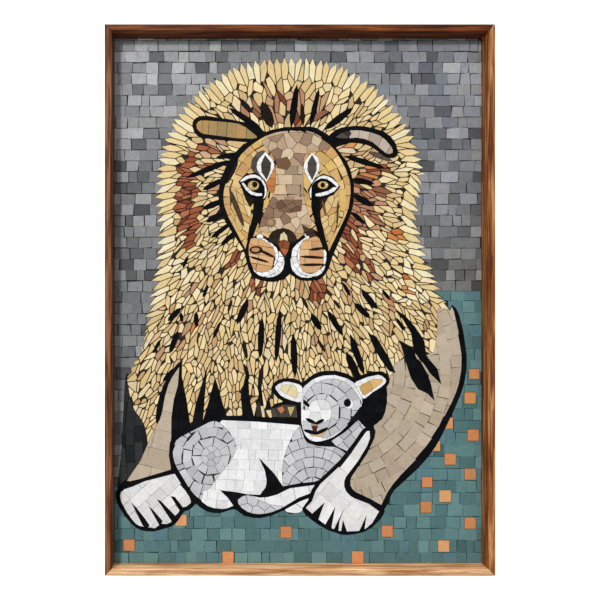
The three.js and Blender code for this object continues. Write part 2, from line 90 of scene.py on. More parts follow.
def mapRange(tree, value, low, high, newLow, newHigh):
    return addNode(tree, "ShaderNodeMapRange", {"Value": value, "From Min": low, "From Max": high,
                                                "To Min": newLow, "To Max": newHigh}).outputs[0]


def scaled(tree, colour, factor):
    return addNode(tree, "ShaderNodeVectorMath", {0: colour, "Scale": factor}, operation="SCALE").outputs[0]


def addBump(tree, shader, height, strength, distance):
    bump = addNode(tree, "ShaderNodeBump", {"Height": height, "Strength": strength, "Distance": distance})
    tree.links.new(bump.outputs[0], shader.inputs["Normal"])


# Honed stone: colour = tone * cloud * speck, where both noises vary by their share round 1, and a stone shines more the
# paler its tone is
def stoneMaterial(name, roughness, cloud, speck, tooth, shine=0.35):
    material, tree, shader = newMaterial(name, roughness)
    place = addNode(tree, "ShaderNodeTexCoord").outputs["Object"]
    tone = addNode(tree, "ShaderNodeAttribute", attribute_name="tone").outputs["Color"]
    specks = noise(tree, place, 520.0, 2.0)
    wide = mapRange(tree, noise(tree, place, 130.0, 3.0), 0.3, 0.7, 1 - cloud, 1 + cloud)
    fine = mapRange(tree, specks, 0.3, 0.7, 1 - speck, 1 + speck)
    both = addNode(tree, "ShaderNodeMath", {0: wide, 1: fine}, operation="MULTIPLY").outputs[0]
    light = addNode(tree, "ShaderNodeVectorMath", {0: tone, 1: (0.3, 0.6, 0.1)}, operation="DOT_PRODUCT")
    polish = mapRange(tree, light.outputs["Value"], 0.01, 0.2, 0.04, shine)
    tree.links.new(scaled(tree, tone, both), shader.inputs["Base Color"])
    tree.links.new(polish, shader.inputs["Specular IOR Level"])
    addBump(tree, shader, specks, tooth, 0.0004)
    return material


# Oiled hardwood: colour = ramp(noise drawn out along the rail) * (0.72 in the pores to 1), and, where a factor is
# given, brightened by it where it faces up: painted light from above
def woodMaterial(name, stretch, colours, roughness, paintedUpLight=None):
    material, tree, shader = newMaterial(name, roughness)
    place = addNode(tree, "ShaderNodeTexCoord").outputs
    drawn = addNode(tree, "ShaderNodeMapping", {"Vector": place["Object"], "Scale": stretch}).outputs[0]
    pores = noise(tree, drawn, 5.0, 2.0)
    ramp = addNode(tree, "ShaderNodeValToRGB", {"Fac": noise(tree, drawn, 1.0, 6.0, 0.6)})
    steps = ramp.color_ramp.elements
    steps[0].position, steps[0].color = 0.36, rgba(colours[0])
    steps[1].position, steps[1].color = 0.64, rgba(colours[2])
    steps.new(0.5).color = rgba(colours[1])
    tinted = scaled(tree, ramp.outputs[0], mapRange(tree, pores, 0.35, 0.5, 0.72, 1.0))
    # Painted light: faces that point up are made up to that many times brighter, standing in for light from above
    if paintedUpLight:
        facing = addNode(tree, "ShaderNodeSeparateXYZ", {"Vector": place["Normal"]})
        tinted = scaled(tree, tinted, mapRange(tree, facing.outputs["Z"], 0.4, 0.9, 1.0, paintedUpLight))
    shader.inputs["Specular IOR Level"].default_value = 0.15
    tree.links.new(tinted, shader.inputs["Base Color"])
    addBump(tree, shader, pores, 0.25, 0.0004)
    return material


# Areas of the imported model
nodeNames = list(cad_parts)
stoneLow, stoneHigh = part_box("mane")
stoneFront = -stoneLow[1] * 1000
stoneBack = -stoneHigh[1] * 1000


def family(*names):
    found = []
    for name in names:
        found += [n for n in nodeNames if n == name or (n.startswith(name + "_") and n[len(name) + 1:].isdigit())]
    return found


# Vectors made one long
def unit(vectors):
    return vectors / np.maximum(np.linalg.norm(vectors, axis=1, keepdims=True), 1e-9)


# Unit vectors along and across each angle
def axesOf(angles):
    along = np.stack([np.cos(angles), np.sin(angles)], 1)
    return along, np.stack([-along[:, 1], along[:, 0]], 1)


# The three sides of every triangle
def sidesOf(triangles):
    return np.concatenate([triangles[:, [0, 1]], triangles[:, [1, 2]], triangles[:, [2, 0]]])


# One whole number for each point (x, z), from its place on a grid of 0.02 mm
def pointKeys(points):
    keys = np.round(points * 50).astype(np.int64)
    return keys[..., 0] * 1000003 + keys[..., 1]


# Rim of the nodes' front faces, as directed edges (x, z) in millimetres: a triangle edge with no twin is on the rim
def frontRim(names):
    rims = []
    for name in names:
        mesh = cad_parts[name].data
        points = np.empty(len(mesh.vertices) * 3)
        mesh.vertices.foreach_get("co", points)
        points = points.reshape(-1, 3) * 1000
        mesh.calc_loop_triangles()
        cornerIds = np.empty(len(mesh.loop_triangles) * 3, dtype=np.int64)
        mesh.loop_triangles.foreach_get("vertices", cornerIds)
        faces = points[cornerIds.reshape(-1, 3)]
        faces = faces[(np.abs(faces[:, :, 1] - points[:, 1].min()) < 0.02).all(1)][:, :, [0, 2]]
        edges = sidesOf(faces)
        _, ids = np.unique(pointKeys(edges).ravel(), return_inverse=True)
        ids = ids.reshape(-1, 2)
        ahead = ids[:, 0] * 100000 + ids[:, 1]
        behind = ids[:, 1] * 100000 + ids[:, 0]
        rims.append(edges[~np.isin(ahead, behind) & (ids[:, 0] != ids[:, 1])])
    return np.concatenate(rims)


# Sharp outward corners of a rim: the corner points, and the directions from them into the area
def sharpCorners(rim):
    heads, tails = pointKeys(rim[:, 0]), pointKeys(rim[:, 1])
    order = np.argsort(heads)
    found = order[np.clip(np.searchsorted(heads[order], tails), 0, len(order) - 1)]
    before, after = unit(rim[:, 1] - rim[:, 0]), unit(rim[found, 1] - rim[found, 0])
    turn = np.arctan2(before[:, 0] * after[:, 1] - before[:, 1] * after[:, 0], (before * after).sum(1))
    sharp = (turn > 1.55) & (heads[found] == tails)
    return rim[sharp, 1], unit(after[sharp] - before[sharp])


# The mane's tips lean down along its rim, and every neighbour's corner at a tip goes with it
tipPoints, tipInward = sharpCorners(frontRim(["mane"]))
down = np.stack([-tipInward[:, 1], tipInward[:, 0]], 1)
down *= -np.sign(down[:, 1:])


# lean = most * clip((top - z) / reach, 0, 1), in millimetres
def leanBy(most, top, reach):
    return most * np.clip((top - tipPoints[:, 1]) / reach, 0, 1)


lean = np.where(tipPoints[:, 0] < -15, leanBy(9.0, 230, 200), leanBy(8.0, 240, 90))
lean *= tipPoints[:, 1] > -85
tipShift = down * lean[:, None]


# Moves each end of a rim that lies within 2.6 mm of a tip by that tip's shift
def leanTips(rim):
    ends = rim.reshape(-1, 2)
    away = np.linalg.norm(ends[:, None] - tipPoints[None], axis=2)
    nearest = away.argmin(1)
    shift = np.where((away.min(1) < 2.6)[:, None], tipShift[nearest], 0)
    return (ends + shift).reshape(rim.shape)


def loopEdges(points):
    points = np.asarray(points, dtype=float)
    return np.stack([points, np.roll(points, -1, axis=0)], axis=1)


# A point is inside where a line to its right crosses the edges an odd number of times
def inside(points, edges):
    block = 4000
    result = np.zeros(len(points), dtype=bool)
    ax, az = edges[:, 0, 0], edges[:, 0, 1]
    bx, bz = edges[:, 1, 0], edges[:, 1, 1]
    rise = np.where(bz == az, 1e-9, bz - az)
    for start in range(0, len(points), block):
        x = points[start:start + block, 0, None]
        z = points[start:start + block, 1, None]
        crossing = ((az > z) != (bz > z)) & (x < ax + (z - az) * (bx - ax) / rise)
        result[start:start + block] = crossing.sum(1) % 2 == 1
    return result


# The corners that a stone's outline may have, and the neighbours and the edges that may trim it
mostCorners, mostNeighbours, mostEdges = 16, 16, 9


# For each corner of each polygon: whether it is in use, and the number of the corner after it
def cornerOrder(cells, counts):
    index = np.arange(cells.shape[1])[None]
    return index < counts[:, None], np.where(index + 1 < counts[:, None], index + 1, 0)


# Keeps of every polygon what lies on the near side of its own line: normal . point <= offset
def trim(cells, counts, normal, offset):
    size = cells.shape[1]
    used, following = cornerOrder(cells, counts)
    height = (cells * normal[:, None]).sum(2) - offset[:, None]
    nextCells = np.take_along_axis(cells, following[..., None], 1)
    nextHeight = np.take_along_axis(height, following, 1)
    kept = used & (height <= 0)
    crossed = used & ((height <= 0) != (nextHeight <= 0))
    change = height - nextHeight
    share = height / np.where(np.abs(change) < 1e-12, 1e-12, change)
    both = np.empty((len(cells), 2 * size, 2))
    both[:, 0::2] = cells
    both[:, 1::2] = cells + (nextCells - cells) * share[..., None]
    flags = np.empty((len(cells), 2 * size), dtype=bool)
    flags[:, 0::2] = kept
    flags[:, 1::2] = crossed
    order = np.argsort(~flags, axis=1, kind="stable")[:, :size]
    return np.take_along_axis(both, order[..., None], 1), np.minimum(flags.sum(1), size)


# Trims each stone by lines between it and its neighbours: the line stands at own reach / (own + other's reach) of the
# way, and reach is the stone's half size in that direction
def trimToNeighbours(cells, counts, centres, angles, halves, gap):
    total = len(centres)
    if total < 2:
        return cells, counts
    along, across = axesOf(angles)
    metric = (along[:, :, None] * along[:, None] / halves[:, 0, None, None] ** 2
              + across[:, :, None] * across[:, None] / halves[:, 1, None, None] ** 2)
    near = min(mostNeighbours, total - 1)
    block = 500
    nearest = np.empty((total, near), dtype=int)
    for start in range(0, total, block):
        gapTo = centres[None] - centres[start:start + block, None]
        far = np.einsum("nmi,nij,nmj->nm", gapTo, metric[start:start + block], gapTo)
        far[np.arange(len(far)), np.arange(start, start + len(far))] = 1e9
        nearest[start:start + block] = np.argpartition(far, near - 1, axis=1)[:, :near]
    for k in range(near):
        other = nearest[:, k]
        toward = centres[other] - centres
        own = np.sqrt(np.einsum("ni,nij,nj->n", toward, metric, toward))
        theirs = np.sqrt(np.einsum("ni,nij,nj->n", toward, metric[other], toward))
        normal = unit(np.einsum("nij,nj->ni", metric + metric[other], toward))
        between = centres + toward * (theirs / np.maximum(own + theirs, 1e-9))[:, None]
        cells, counts = trim(cells, counts, normal, (normal * between).sum(1) - gap / 2)
    return cells, counts


# Trims each stone at half a gap before the nearest point of each edge that is within reach
def trimToEdges(cells, counts, centres, edges, gap, reach):
    a, b = edges[:, 0], edges[:, 1]
    span = b - a
    length = np.maximum((span ** 2).sum(1), 1e-9)
    near = min(mostEdges, len(edges))
    share = np.clip((((centres[:, None] - a[None]) * span[None]).sum(2)) / length[None], 0, 1)
    closest = a[None] + span[None] * share[..., None]
    distance = np.linalg.norm(closest - centres[:, None], axis=2)
    order = np.argpartition(distance, near - 1, axis=1)[:, :near]
    rows = np.arange(len(centres))
    for k in range(near):
        point = closest[rows, order[:, k]]
        far = distance[rows, order[:, k]]
        normal = (point - centres) / np.maximum(far, 1e-6)[:, None]
        offset = (normal * point).sum(1) - gap / 2
        offset = np.where((far > reach) | (far < 0.02), 1e6, offset)
        cells, counts = trim(cells, counts, normal, offset)
    return cells, counts


# Area and middle of each polygon: area = sum of cross / 2, middle = sum of (corner + next) * cross / (6 area)
def areaAndMiddle(cells, counts):
    used, following = cornerOrder(cells, counts)
    nextCells = np.take_along_axis(cells, following[..., None], 1)
    cross = np.where(used, cells[..., 0] * nextCells[..., 1] - nextCells[..., 0] * cells[..., 1], 0)
    area = cross.sum(1) / 2
    middle = ((cells + nextCells) * cross[..., None]).sum(1) / np.maximum(6 * area, 1e-6)[:, None]
    return area, middle


# Scattered stones: random centres kept apart by the stones' own sizes, evened out, then cut between neighbours. With
# a point given, each quarter is narrowed toward the ends, |along| / half length + |across| / half width <= point, and
# the stone is broken off aslant at both ends
def scattered(isIn, edges, setting, rng):
    low, high = setting["low"], setting["high"]
    area = np.prod(high - low)
    tries = int(setting.get("tries", 16) * area / (4 * setting["half"][0] * setting["half"][1])) + 60
    spots = low + rng.random((tries, 2)) * (high - low)
    seeds = setting.get("seeds", np.empty((0, 2)))
    spots = np.concatenate([seeds, spots])
    spots = spots[isIn(spots) | (np.arange(len(spots)) < len(seeds))]
    if len(spots) == 0:
        return np.empty((0, mostCorners, 2)), np.empty(0, dtype=int)
    angles, halves = setting["flow"](spots, setting, rng)
    along, across = axesOf(angles)
    long = along / halves[:, :1]
    short = across / halves[:, 1:]
    apart, outward = 0.75, 2.3
    chosen = np.zeros(len(spots), dtype=int)
    total = 1
    for i in range(1, len(spots)):
        picked = chosen[:total]
        away = spots[i] - spots[picked]
        own = np.hypot(away @ long[i], away @ short[i])
        theirs = np.hypot((away * long[picked]).sum(1), (away * short[picked]).sum(1))
        if (own * theirs > apart * (own + theirs)).all():
            chosen[total] = i
            total += 1
    chosen = chosen[:total]
    fixed = chosen < len(seeds)
    centres, angles, halves = spots[chosen], angles[chosen], halves[chosen]
    along, across = along[chosen], across[chosen]
    turn = np.linspace(0, 2 * np.pi, 9)[:-1] + np.pi / 8
    ring = (along[:, None] * (np.cos(turn)[None, :, None] * halves[:, None, :1] * outward)
            + across[:, None] * (np.sin(turn)[None, :, None] * halves[:, None, 1:] * outward))
    rounds = setting.get("rounds", 3)
    for step in range(rounds):
        cells = np.zeros((len(centres), mostCorners, 2))
        cells[:, :8] = centres[:, None] + ring
        counts = np.full(len(centres), 8)
        cells, counts = trimToNeighbours(cells, counts, centres, angles, halves, setting["gap"])
        if step == rounds - 1:
            break
        inner, innerCounts = trimToEdges(cells, counts, centres, edges, setting["gap"], 2.6 * halves.max())
        found, middle = areaAndMiddle(inner, innerCounts)
        moved = np.where(((found > 3) & ~fixed)[:, None], middle, centres)
        centres = np.where(isIn(moved)[:, None], moved, centres)
    if "point" in setting:
        for sideU, sideW in ((1, 1), (1, -1), (-1, 1), (-1, -1)):
            normal = along * sideU / halves[:, :1] + across * sideW / halves[:, 1:]
            length = np.linalg.norm(normal, axis=1)
            bound = setting["point"] + setting["pointVaries"] * rng.random(len(centres))
            bound += (9 if sideU > 0 else 0.3) * fixed
            normal /= length[:, None]
            cells, counts = trim(cells, counts, normal, (normal * centres).sum(1) + bound / length)
        for side in (1, -1):
            slant = rng.normal(size=(len(centres), 1)) * setting["slant"]
            normal = along * side * np.cos(slant) + across * np.sin(slant)
            reach = halves[:, 0] * (0.8 + 0.6 * rng.random(len(centres))) + 99 * (fixed & (side > 0))
            cells, counts = trim(cells, counts, normal, (normal * centres).sum(1) + reach)
    return cells, counts


# Stones in courses, level, slanting or in rings round a centre; each course is cut in lengths, a ring in lengths that
# close it: sum of widths = 2 pi radius
def coursed(isIn, rim, setting, rng):
    points = rim[:, 0]
    pitch, width, gap = setting["pitch"], setting["width"], setting["gap"]
    ring = "ring" in setting
    if ring:
        centre = np.array(setting["ring"])
        away = np.linalg.norm(points - centre, axis=1)
        lowV = 0.4 if isIn(centre[None])[0] else away.min() - pitch * 0.5
        highV = away.max()
        lowU, highU = 0.0, 2 * math.pi * (highV + pitch)
    else:
        c, s = math.cos(setting.get("angle", 0.0)), math.sin(setting.get("angle", 0.0))
        turned = np.stack([points[:, 0] * c + points[:, 1] * s, points[:, 1] * c - points[:, 0] * s], 1)
        (lowU, lowV), (highU, highV) = turned.min(0) - 2, turned.max(0) + 1
    lowV += setting.get("start", 0.0)
    rows = np.arange(lowV, highV, pitch)[:, None]
    columns = int((highU - lowU) / (width * 0.8)) + 6
    widths = width * np.clip(1 + setting.get("uneven", 0.14) * rng.normal(size=(len(rows), columns)), 0.6, 1.6)
    shift = -(1 + rng.random((len(rows), 1))) * width
    if ring:
        girth = 2 * math.pi * (rows + pitch / 2)
        widths = np.where(np.arange(columns) < np.maximum(5, np.round(girth / width)), widths, 0)
        widths *= girth / widths.sum(1, keepdims=True)
    begins = lowU + shift + np.cumsum(widths, axis=1) - widths
    u0, u1 = begins + gap / 2, begins + widths - gap / 2
    v0 = np.repeat(rows, columns, 1) + gap / 2
    v1 = v0 + pitch - gap
    middle = (v0 + v1) / 2
    fits = widths > 0.25 * width
    quads = np.stack([np.stack(corner, -1) for corner in ((u0, v0), (u1, v0), (u1, v1), (u0, v1))], 2)
    quads, middle = quads[fits], middle[fits][:, None]
    slip = rng.normal(size=quads.shape) * setting.get("wobble", 0.15)
    if ring:
        turn = quads[..., 0] / middle
        slip *= np.minimum(1, middle / 30)[..., None]
        quads = centre + np.stack([quads[..., 1] * np.cos(turn), quads[..., 1] * np.sin(turn)], -1) + slip
        quads = quads[:, ::-1]
    else:
        quads = quads + slip
        quads = np.stack([quads[..., 0] * c - quads[..., 1] * s, quads[..., 0] * s + quads[..., 1] * c], -1)
    steps = np.linspace(0, 1, 6)
    s, t = np.meshgrid(steps, steps)
    s, t = s.ravel()[None, :, None], t.ravel()[None, :, None]
    grid = ((quads[:, None, 0] * (1 - s) + quads[:, None, 1] * s) * (1 - t)
            + (quads[:, None, 3] * (1 - s) + quads[:, None, 2] * s) * t)
    usable = isIn(grid.reshape(-1, 2)).reshape(len(quads), -1).any(1)
    cells = np.zeros((usable.sum(), mostCorners, 2))
    cells[:, :4] = quads[usable]
    return cells, np.full(len(cells), 4)


# Stones of one size that all lie at one angle, swaying round it
def evenFlow(spots, setting, rng):
    angles = np.full(len(spots), setting.get("angle", 0.0)) + rng.normal(size=len(spots)) * setting.get("sway", 0.1)
    halves = np.tile(np.array(setting["half"], dtype=float), (len(spots), 1))
    return angles, halves


# An outline moved outward (or inward, below zero), each corner along the bisector of its two sides
def offsetLoop(points, distance):
    points = np.asarray(points, dtype=float)
    before, after = unit(points - np.roll(points, 1, axis=0)), unit(np.roll(points, -1, axis=0) - points)
    area = (points[:, 0] * np.roll(points[:, 1], -1) - np.roll(points[:, 0], -1) * points[:, 1]).sum()
    normal = (before + after)[:, ::-1] * np.array([1, -1]) * np.sign(area)
    length = np.linalg.norm(normal, axis=1, keepdims=True)
    return points + normal / np.maximum(length, 1e-6) * distance / np.maximum(length / 2, 0.35)


# Cuts every stone's outline exactly to its area: one constrained triangulation holds the rim, the inlays and all
# stones, and a triangle belongs to a stone when it lies in that stone and in the area of the stone's own layer
def cutToArea(rim, outlines, layers, joint):
    grownLoops = [loopEdges(offsetLoop(outline, joint)) for outline in outlines]
    ownLoops = [loopEdges(outline) for outline in outlines]
    lines = np.concatenate([rim, *grownLoops, *ownLoops]).reshape(-1, 2)
    lines, place = np.unique(np.round(lines, 3), axis=0, return_inverse=True)
    place = place.reshape(-1, 2)
    points, faces, layerOf = [lines], [], []
    total = len(lines)
    for layer, (cells, counts) in enumerate(layers):
        used = np.arange(cells.shape[1])[None] < counts[:, None]
        points.append(cells[used])
        starts = total + np.concatenate([[0], np.cumsum(counts)])
        faces += [list(range(a, b)) for a, b in zip(starts[:-1].tolist(), starts[1:].tolist())]
        layerOf += [layer] * len(cells)
        total = starts[-1]
    edges = place[place[:, 0] != place[:, 1]].tolist()
    found, _, triangles, _, _, origin = geometry.delaunay_2d_cdt(
        np.concatenate(points).tolist(), edges, faces, 0, 0.004, True)
    found, triangles = np.array([tuple(p) for p in found]), np.array(triangles)
    middle = found[triangles].mean(1)
    within = inside(middle, rim)
    region = np.where(within, 0, -1)
    for k in range(len(outlines)):
        region = np.where(within & inside(middle, grownLoops[k]), -1, region)
        region = np.where(within & inside(middle, ownLoops[k]), k + 1, region)
    sizes = np.array([len(ids) for ids in origin])
    triangle = np.repeat(np.arange(len(triangles)), sizes)
    face = np.fromiter(itertools.chain.from_iterable(origin), dtype=int, count=sizes.sum())
    fits = np.array(layerOf)[face] == region[triangle]
    triangle, first = np.unique(triangle[fits], return_index=True)
    return found, triangles[triangle], face[fits][first]


# One mesh from many stones: each has a flat face of its own height and tilt, straight cut sides and a flat back.
# Crumbs are left out: area <= least, or 2 * area <= 0.9 mm * girth
def stoneMesh(name, points, triangles, stone, tones, rng, rough, tilt, least):
    a, b, c = points[triangles[:, 0]], points[triangles[:, 1]], points[triangles[:, 2]]
    double = (b[:, 0] - a[:, 0]) * (c[:, 1] - a[:, 1]) - (c[:, 0] - a[:, 0]) * (b[:, 1] - a[:, 1])
    triangles = np.where((double < 0)[:, None], triangles[:, ::-1], triangles)
    double = np.abs(double)
    area = np.bincount(stone, double / 2, len(tones))
    middle = np.stack([np.bincount(stone, double / 2 * (a + b + c)[:, k] / 3, len(tones)) for k in (0, 1)], 1)
    middle /= np.maximum(area, 1e-9)[:, None]
    ends = sidesOf(triangles)
    owner = np.tile(stone, 3)
    key = owner * len(points)
    ahead = (key + ends[:, 0]) * len(points) + ends[:, 1]
    behind = (key + ends[:, 1]) * len(points) + ends[:, 0]
    length = np.linalg.norm(points[ends[:, 0]] - points[ends[:, 1]], axis=1)
    girth = np.bincount(owner, np.where(np.isin(ahead, behind), 0, length), len(tones))
    kept = (area > least) & (2 * area > 0.9 * girth)
    keep = kept[stone] & (double > 1e-7)
    triangles, stone = triangles[keep], stone[keep]
    ids, index = np.unique(stone[:, None] * len(points) + triangles, return_inverse=True)
    index = index.reshape(-1, 3)
    own, spot = ids // len(points), points[ids % len(points)]
    tip = rng.normal(size=(len(tones), 2)) * tilt
    level = stoneFront - rough * rng.random(len(tones))
    top = np.minimum(level[own] + (tip[own] * (spot - middle[own])).sum(1), stoneFront + 0.6)
    total = len(ids)
    place = np.empty((2 * total, 3))
    place[:, [0, 2]] = np.tile(spot, (2, 1))
    place[:, 1] = np.concatenate([-top, np.full(total, -stoneBack)])
    ends = sidesOf(index)
    outer = ends[~np.isin(ends[:, 0] * total + ends[:, 1], ends[:, 1] * total + ends[:, 0])]
    walls = np.stack([outer[:, 0], outer[:, 0] + total, outer[:, 1] + total, outer[:, 1]], 1)
    loops = np.concatenate([index.ravel(), index[:, ::-1].ravel() + total, walls.ravel()])
    count = len(index)
    starts = np.concatenate([np.arange(2 * count) * 3, 6 * count + np.arange(len(walls)) * 4])
    mesh = bpy.data.meshes.new(name)
    mesh.vertices.add(2 * total)
    mesh.vertices.foreach_set("co", (place / 1000).ravel().astype(np.float32))
    mesh.loops.add(len(loops))
    mesh.loops.foreach_set("vertex_index", loops.astype(np.int32))
    mesh.polygons.add(len(starts))
    mesh.polygons.foreach_set("loop_start", starts.astype(np.int32))
    mesh.polygons.foreach_set("use_smooth", np.zeros(len(starts), dtype=bool))
    mesh.update(calc_edges=True)
    mesh.validate()
    shade = mesh.color_attributes.new("tone", "FLOAT_COLOR", "POINT")
    colours = np.ones((2 * total, 4), dtype=np.float32)
    colours[:, :3] = np.tile(np.clip(tones, 0.003, 0.9)[own], (2, 1))
    shade.data.foreach_set("color", colours.ravel())
    return mesh, int(kept.sum())


# tone = one of the palette * (1 + spread * normal)
def pickTones(palette, total, rng, spread=0.05):
    colours = np.array([linear(c) for c in palette])
    chosen = colours[rng.integers(0, len(colours), total)]
    return chosen * (1 + spread * rng.normal(size=(total, 1)))


# A tapered inlay from one point to another, such as a dark gap between locks
def lens(a, b, width, colour):
    a, b = np.array(a, dtype=float), np.array(b, dtype=float)
    ahead = b - a
    length = np.linalg.norm(ahead)
    side = np.array([-ahead[1], ahead[0]]) / length * width / 2
    outline = [a, a + ahead * 0.2 - side * 0.8, a + ahead * 0.5 - side, a + ahead * 0.85 - side * 0.7, b,
               b - ahead * 0.15 + side * 0.7, a + ahead * 0.5 + side, a + ahead * 0.2 + side * 0.8]
    return {"outline": outline, "palette": [colour], "angle": math.atan2(ahead[1], ahead[0]),
            "half": (min(7.0, length / 3), width * 0.8)}


def shape(outline, palette, half=None, angle=0.0, **cut):
    return {"outline": outline, "palette": palette, "angle": angle, "half": half, "cut": cut}


# A line laid as one thin stone
def line(a, b, width, colour):
    return {**lens(a, b, width, colour), "half": None}


def disc(centre, radiusX, radiusZ, palette, half=None):
    turn = np.linspace(0, 2 * np.pi, 13)[:-1]
    return {"outline": np.stack([centre[0] + radiusX * np.cos(turn), centre[1] + radiusZ * np.sin(turn)], 1),
            "palette": palette, "angle": 0.0, "half": half}


stoneTotal = 0
triangleTotal = 0


# Lays one area: its own stones, and inlays of other stones, where each later inlay cuts the earlier ones. The palette
# is a list of colours, or a function that gives the tones for the stones' middles
def layArea(name, nodes, material, setting, palette, inlays=(), *, seed):
    global stoneTotal, triangleTotal
    rng = np.random.default_rng(seed)
    names = family(*nodes)
    rim = leanTips(frontRim(names))
    outlines = [np.asarray(inlay["outline"], dtype=float) for inlay in inlays]
    loops = [loopEdges(outline) for outline in outlines]
    edges = np.concatenate([rim, *loops])

    def isInBase(points):
        within = inside(points, rim)
        for loop in loops:
            within &= ~inside(points, loop)
        return within

    setting = {"gap": 0.7, "half": (6, 6), "low": rim.min((0, 1)), "high": rim.max((0, 1)), "flow": evenFlow,
               **setting}
    if "tips" in setting:
        setting = setting["tips"](rim, setting)
    if "pitch" in setting:
        cells, counts = coursed(isInBase, rim, setting, rng)
    else:
        cells, counts = scattered(isInBase, edges, setting, rng)
    _, middle = areaAndMiddle(cells, counts)
    layers = [(cells, counts)]
    tones = [palette(middle, rng) if callable(palette) else pickTones(palette, len(cells), rng)]
    for k, inlay in enumerate(inlays):
        def isInInlay(points, k=k):
            within = inside(points, rim) & inside(points, loops[k])
            for later in loops[k + 1:]:
                within &= ~inside(points, later)
            return within
        low, high = outlines[k].min(0), outlines[k].max(0)
        if inlay["half"] is None:
            cells = np.zeros((1, mostCorners, 2))
            cells[0, :4] = [low - 1, (high[0] + 1, low[1] - 1), high + 1, (low[0] - 1, high[1] + 1)]
            counts = np.array([4])
        else:
            own = {"gap": 0.5, "half": inlay["half"], "low": low, "high": high, "flow": evenFlow,
                   "angle": inlay["angle"], "sway": 0.05, "rounds": 2, "tries": 40, **inlay.get("cut", {})}
            cells, counts = scattered(isInInlay, np.concatenate([rim, loops[k]]), own, rng)
        layers.append((cells, counts))
        tones.append(pickTones(inlay["palette"], len(cells), rng))
    points, triangles, stone = cutToArea(rim, outlines, layers, setting.get("inlayJoint", 0.35))
    mesh, count = stoneMesh(name, points, triangles, stone, np.concatenate(tones), rng,
                            setting.get("rough", 0.3), setting.get("tilt", 0.012), setting.get("least", 2.0))
    stoneTotal += count
    triangleTotal += sum(len(p.vertices) - 2 for p in mesh.polygons)
    mesh.materials.append(material)
    piece = bpy.data.objects.new(name, mesh)
    bpy.context.scene.collection.objects.link(piece)
    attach(piece, "root")
    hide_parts(*names)
    say(f"{name}: {count} stones")


honed = stoneMaterial("honed_limestone", 0.62, 0.06, 0.07, 0.2)
slate = stoneMaterial("split_slate", 0.6, 0.09, 0.1, 0.35)
dark = stoneMaterial("polished_black_marble", 0.5, 0.1, 0.1, 0.15, 0.05)

black = "#0a0b0e"
warmBlack = "#211a17"

# Background: level courses of grey slate, lighter at the top left, partly from the slate's own tones and partly painted
# light
backgroundPalette = ["#a1a1a3", "#9a9b9c", "#8f9191", "#87898c", "#7e8182", "#757779", "#636668", "#6d6f73"]


# Slate by chance, every fifth stone darker; light = 0.8 + bells round the top left - 0.16 * warm, with a blue tinge at
# the upper right and a warm one at the lower right. The bells and the darkening at the lower right are partly painted
# light falling off from the top left, and partly the slate's own uneven tone
def backgroundTone(middle, rng):
    x, z = middle[:, :1], middle[:, 1:]
    base = pickTones(backgroundPalette[1:6], len(middle), rng, 0.08)
    warm = np.clip((110 - z) / 90, 0, 1) * np.clip(x / 150, 0, 1)
    # Painted light, in part: brightest at the top left and along the top, darker toward the lower right
    light = 0.8 + 0.4 * np.exp(-((x + 240) / 170) ** 2 - ((z - 340) / 150) ** 2)
    light += 0.1 * np.exp(-((z - 340) / 110) ** 2)
    light -= warm * 0.16
    odd = rng.random((len(middle), 1))
    base = np.where(odd < 0.2, base * 0.56, base)
    base = np.where(odd > 0.86, base * 1.22, base)
    blue = np.clip(x / 150, 0, 1) * np.clip((z - 60) / 120, 0, 1) * rng.random((len(middle), 1))
    return base * light * (1 + blue * np.array([-0.04, 0.0, 0.13]) + warm * np.array([0.03, 0.0, -0.05]))


layArea("background_stones", ["grey_background"], slate, {"angle": 0.0, "pitch": 14.3,
        "width": 17.0, "uneven": 0.2, "gap": 0.7, "wobble": 0.4, "least": 8, "rough": 0.7, "tilt": 0.02},
        backgroundTone, seed=11)

# Ground: level courses of blue-green stone with single orange squares
accents = [
    (-221.2, -320.1, 1), (-91.5, -335.8, 1), (-15.5, -303.1, 1), (-153.1, -287.4, 1), (225.6, -127.5, 1),
    (195.5, -160.2, 1), (229.6, -176.0, 1), (179.8, -190.4, 0.9), (199.4, -207.4, 1), (225.6, -227.1, 1),
    (169.3, -237.6, 0.9), (192.9, -255.9, 1.05), (168.0, -270.3, 1), (225.6, -291.3, 1), (116.9, -301.8, 1),
    (190.9, -321.4, 1), (78.2, -335.8, 1.05), (230.9, -96.0, 0.9),
]
orangePalette = ["#c98550", "#d08d58", "#c87f4c", "#d49a66"]


def square(x, z, half):
    return [(x - half, z - half), (x + half, z - half), (x + half, z + half), (x - half, z + half)]


squares = [shape(square(x, z, 7.3 * k), [orangePalette[i % 4]]) for i, (x, z, k) in enumerate(accents)]

groundPalette = ["#4f7273", "#567a7a", "#4b6d6e", "#5a7f80", "#496c6c", "#5f8484", "#51757b", "#577b7b"]


# Blue-green by chance, every twelfth stone darker
def groundTone(middle, rng):
    base = pickTones(groundPalette, len(middle), rng, 0.04)
    return np.where(rng.random((len(middle), 1)) < 0.08, base * 0.8, base)


layArea("ground_stones", ["teal_ground"], honed, {"angle": 0.0, "pitch": 15.7, "width": 17.0,
        "uneven": 0.2, "gap": 0.4, "wobble": 0.3, "least": 8, "rough": 0.3, "inlayJoint": 0.6}, groundTone,
        squares, seed=12)

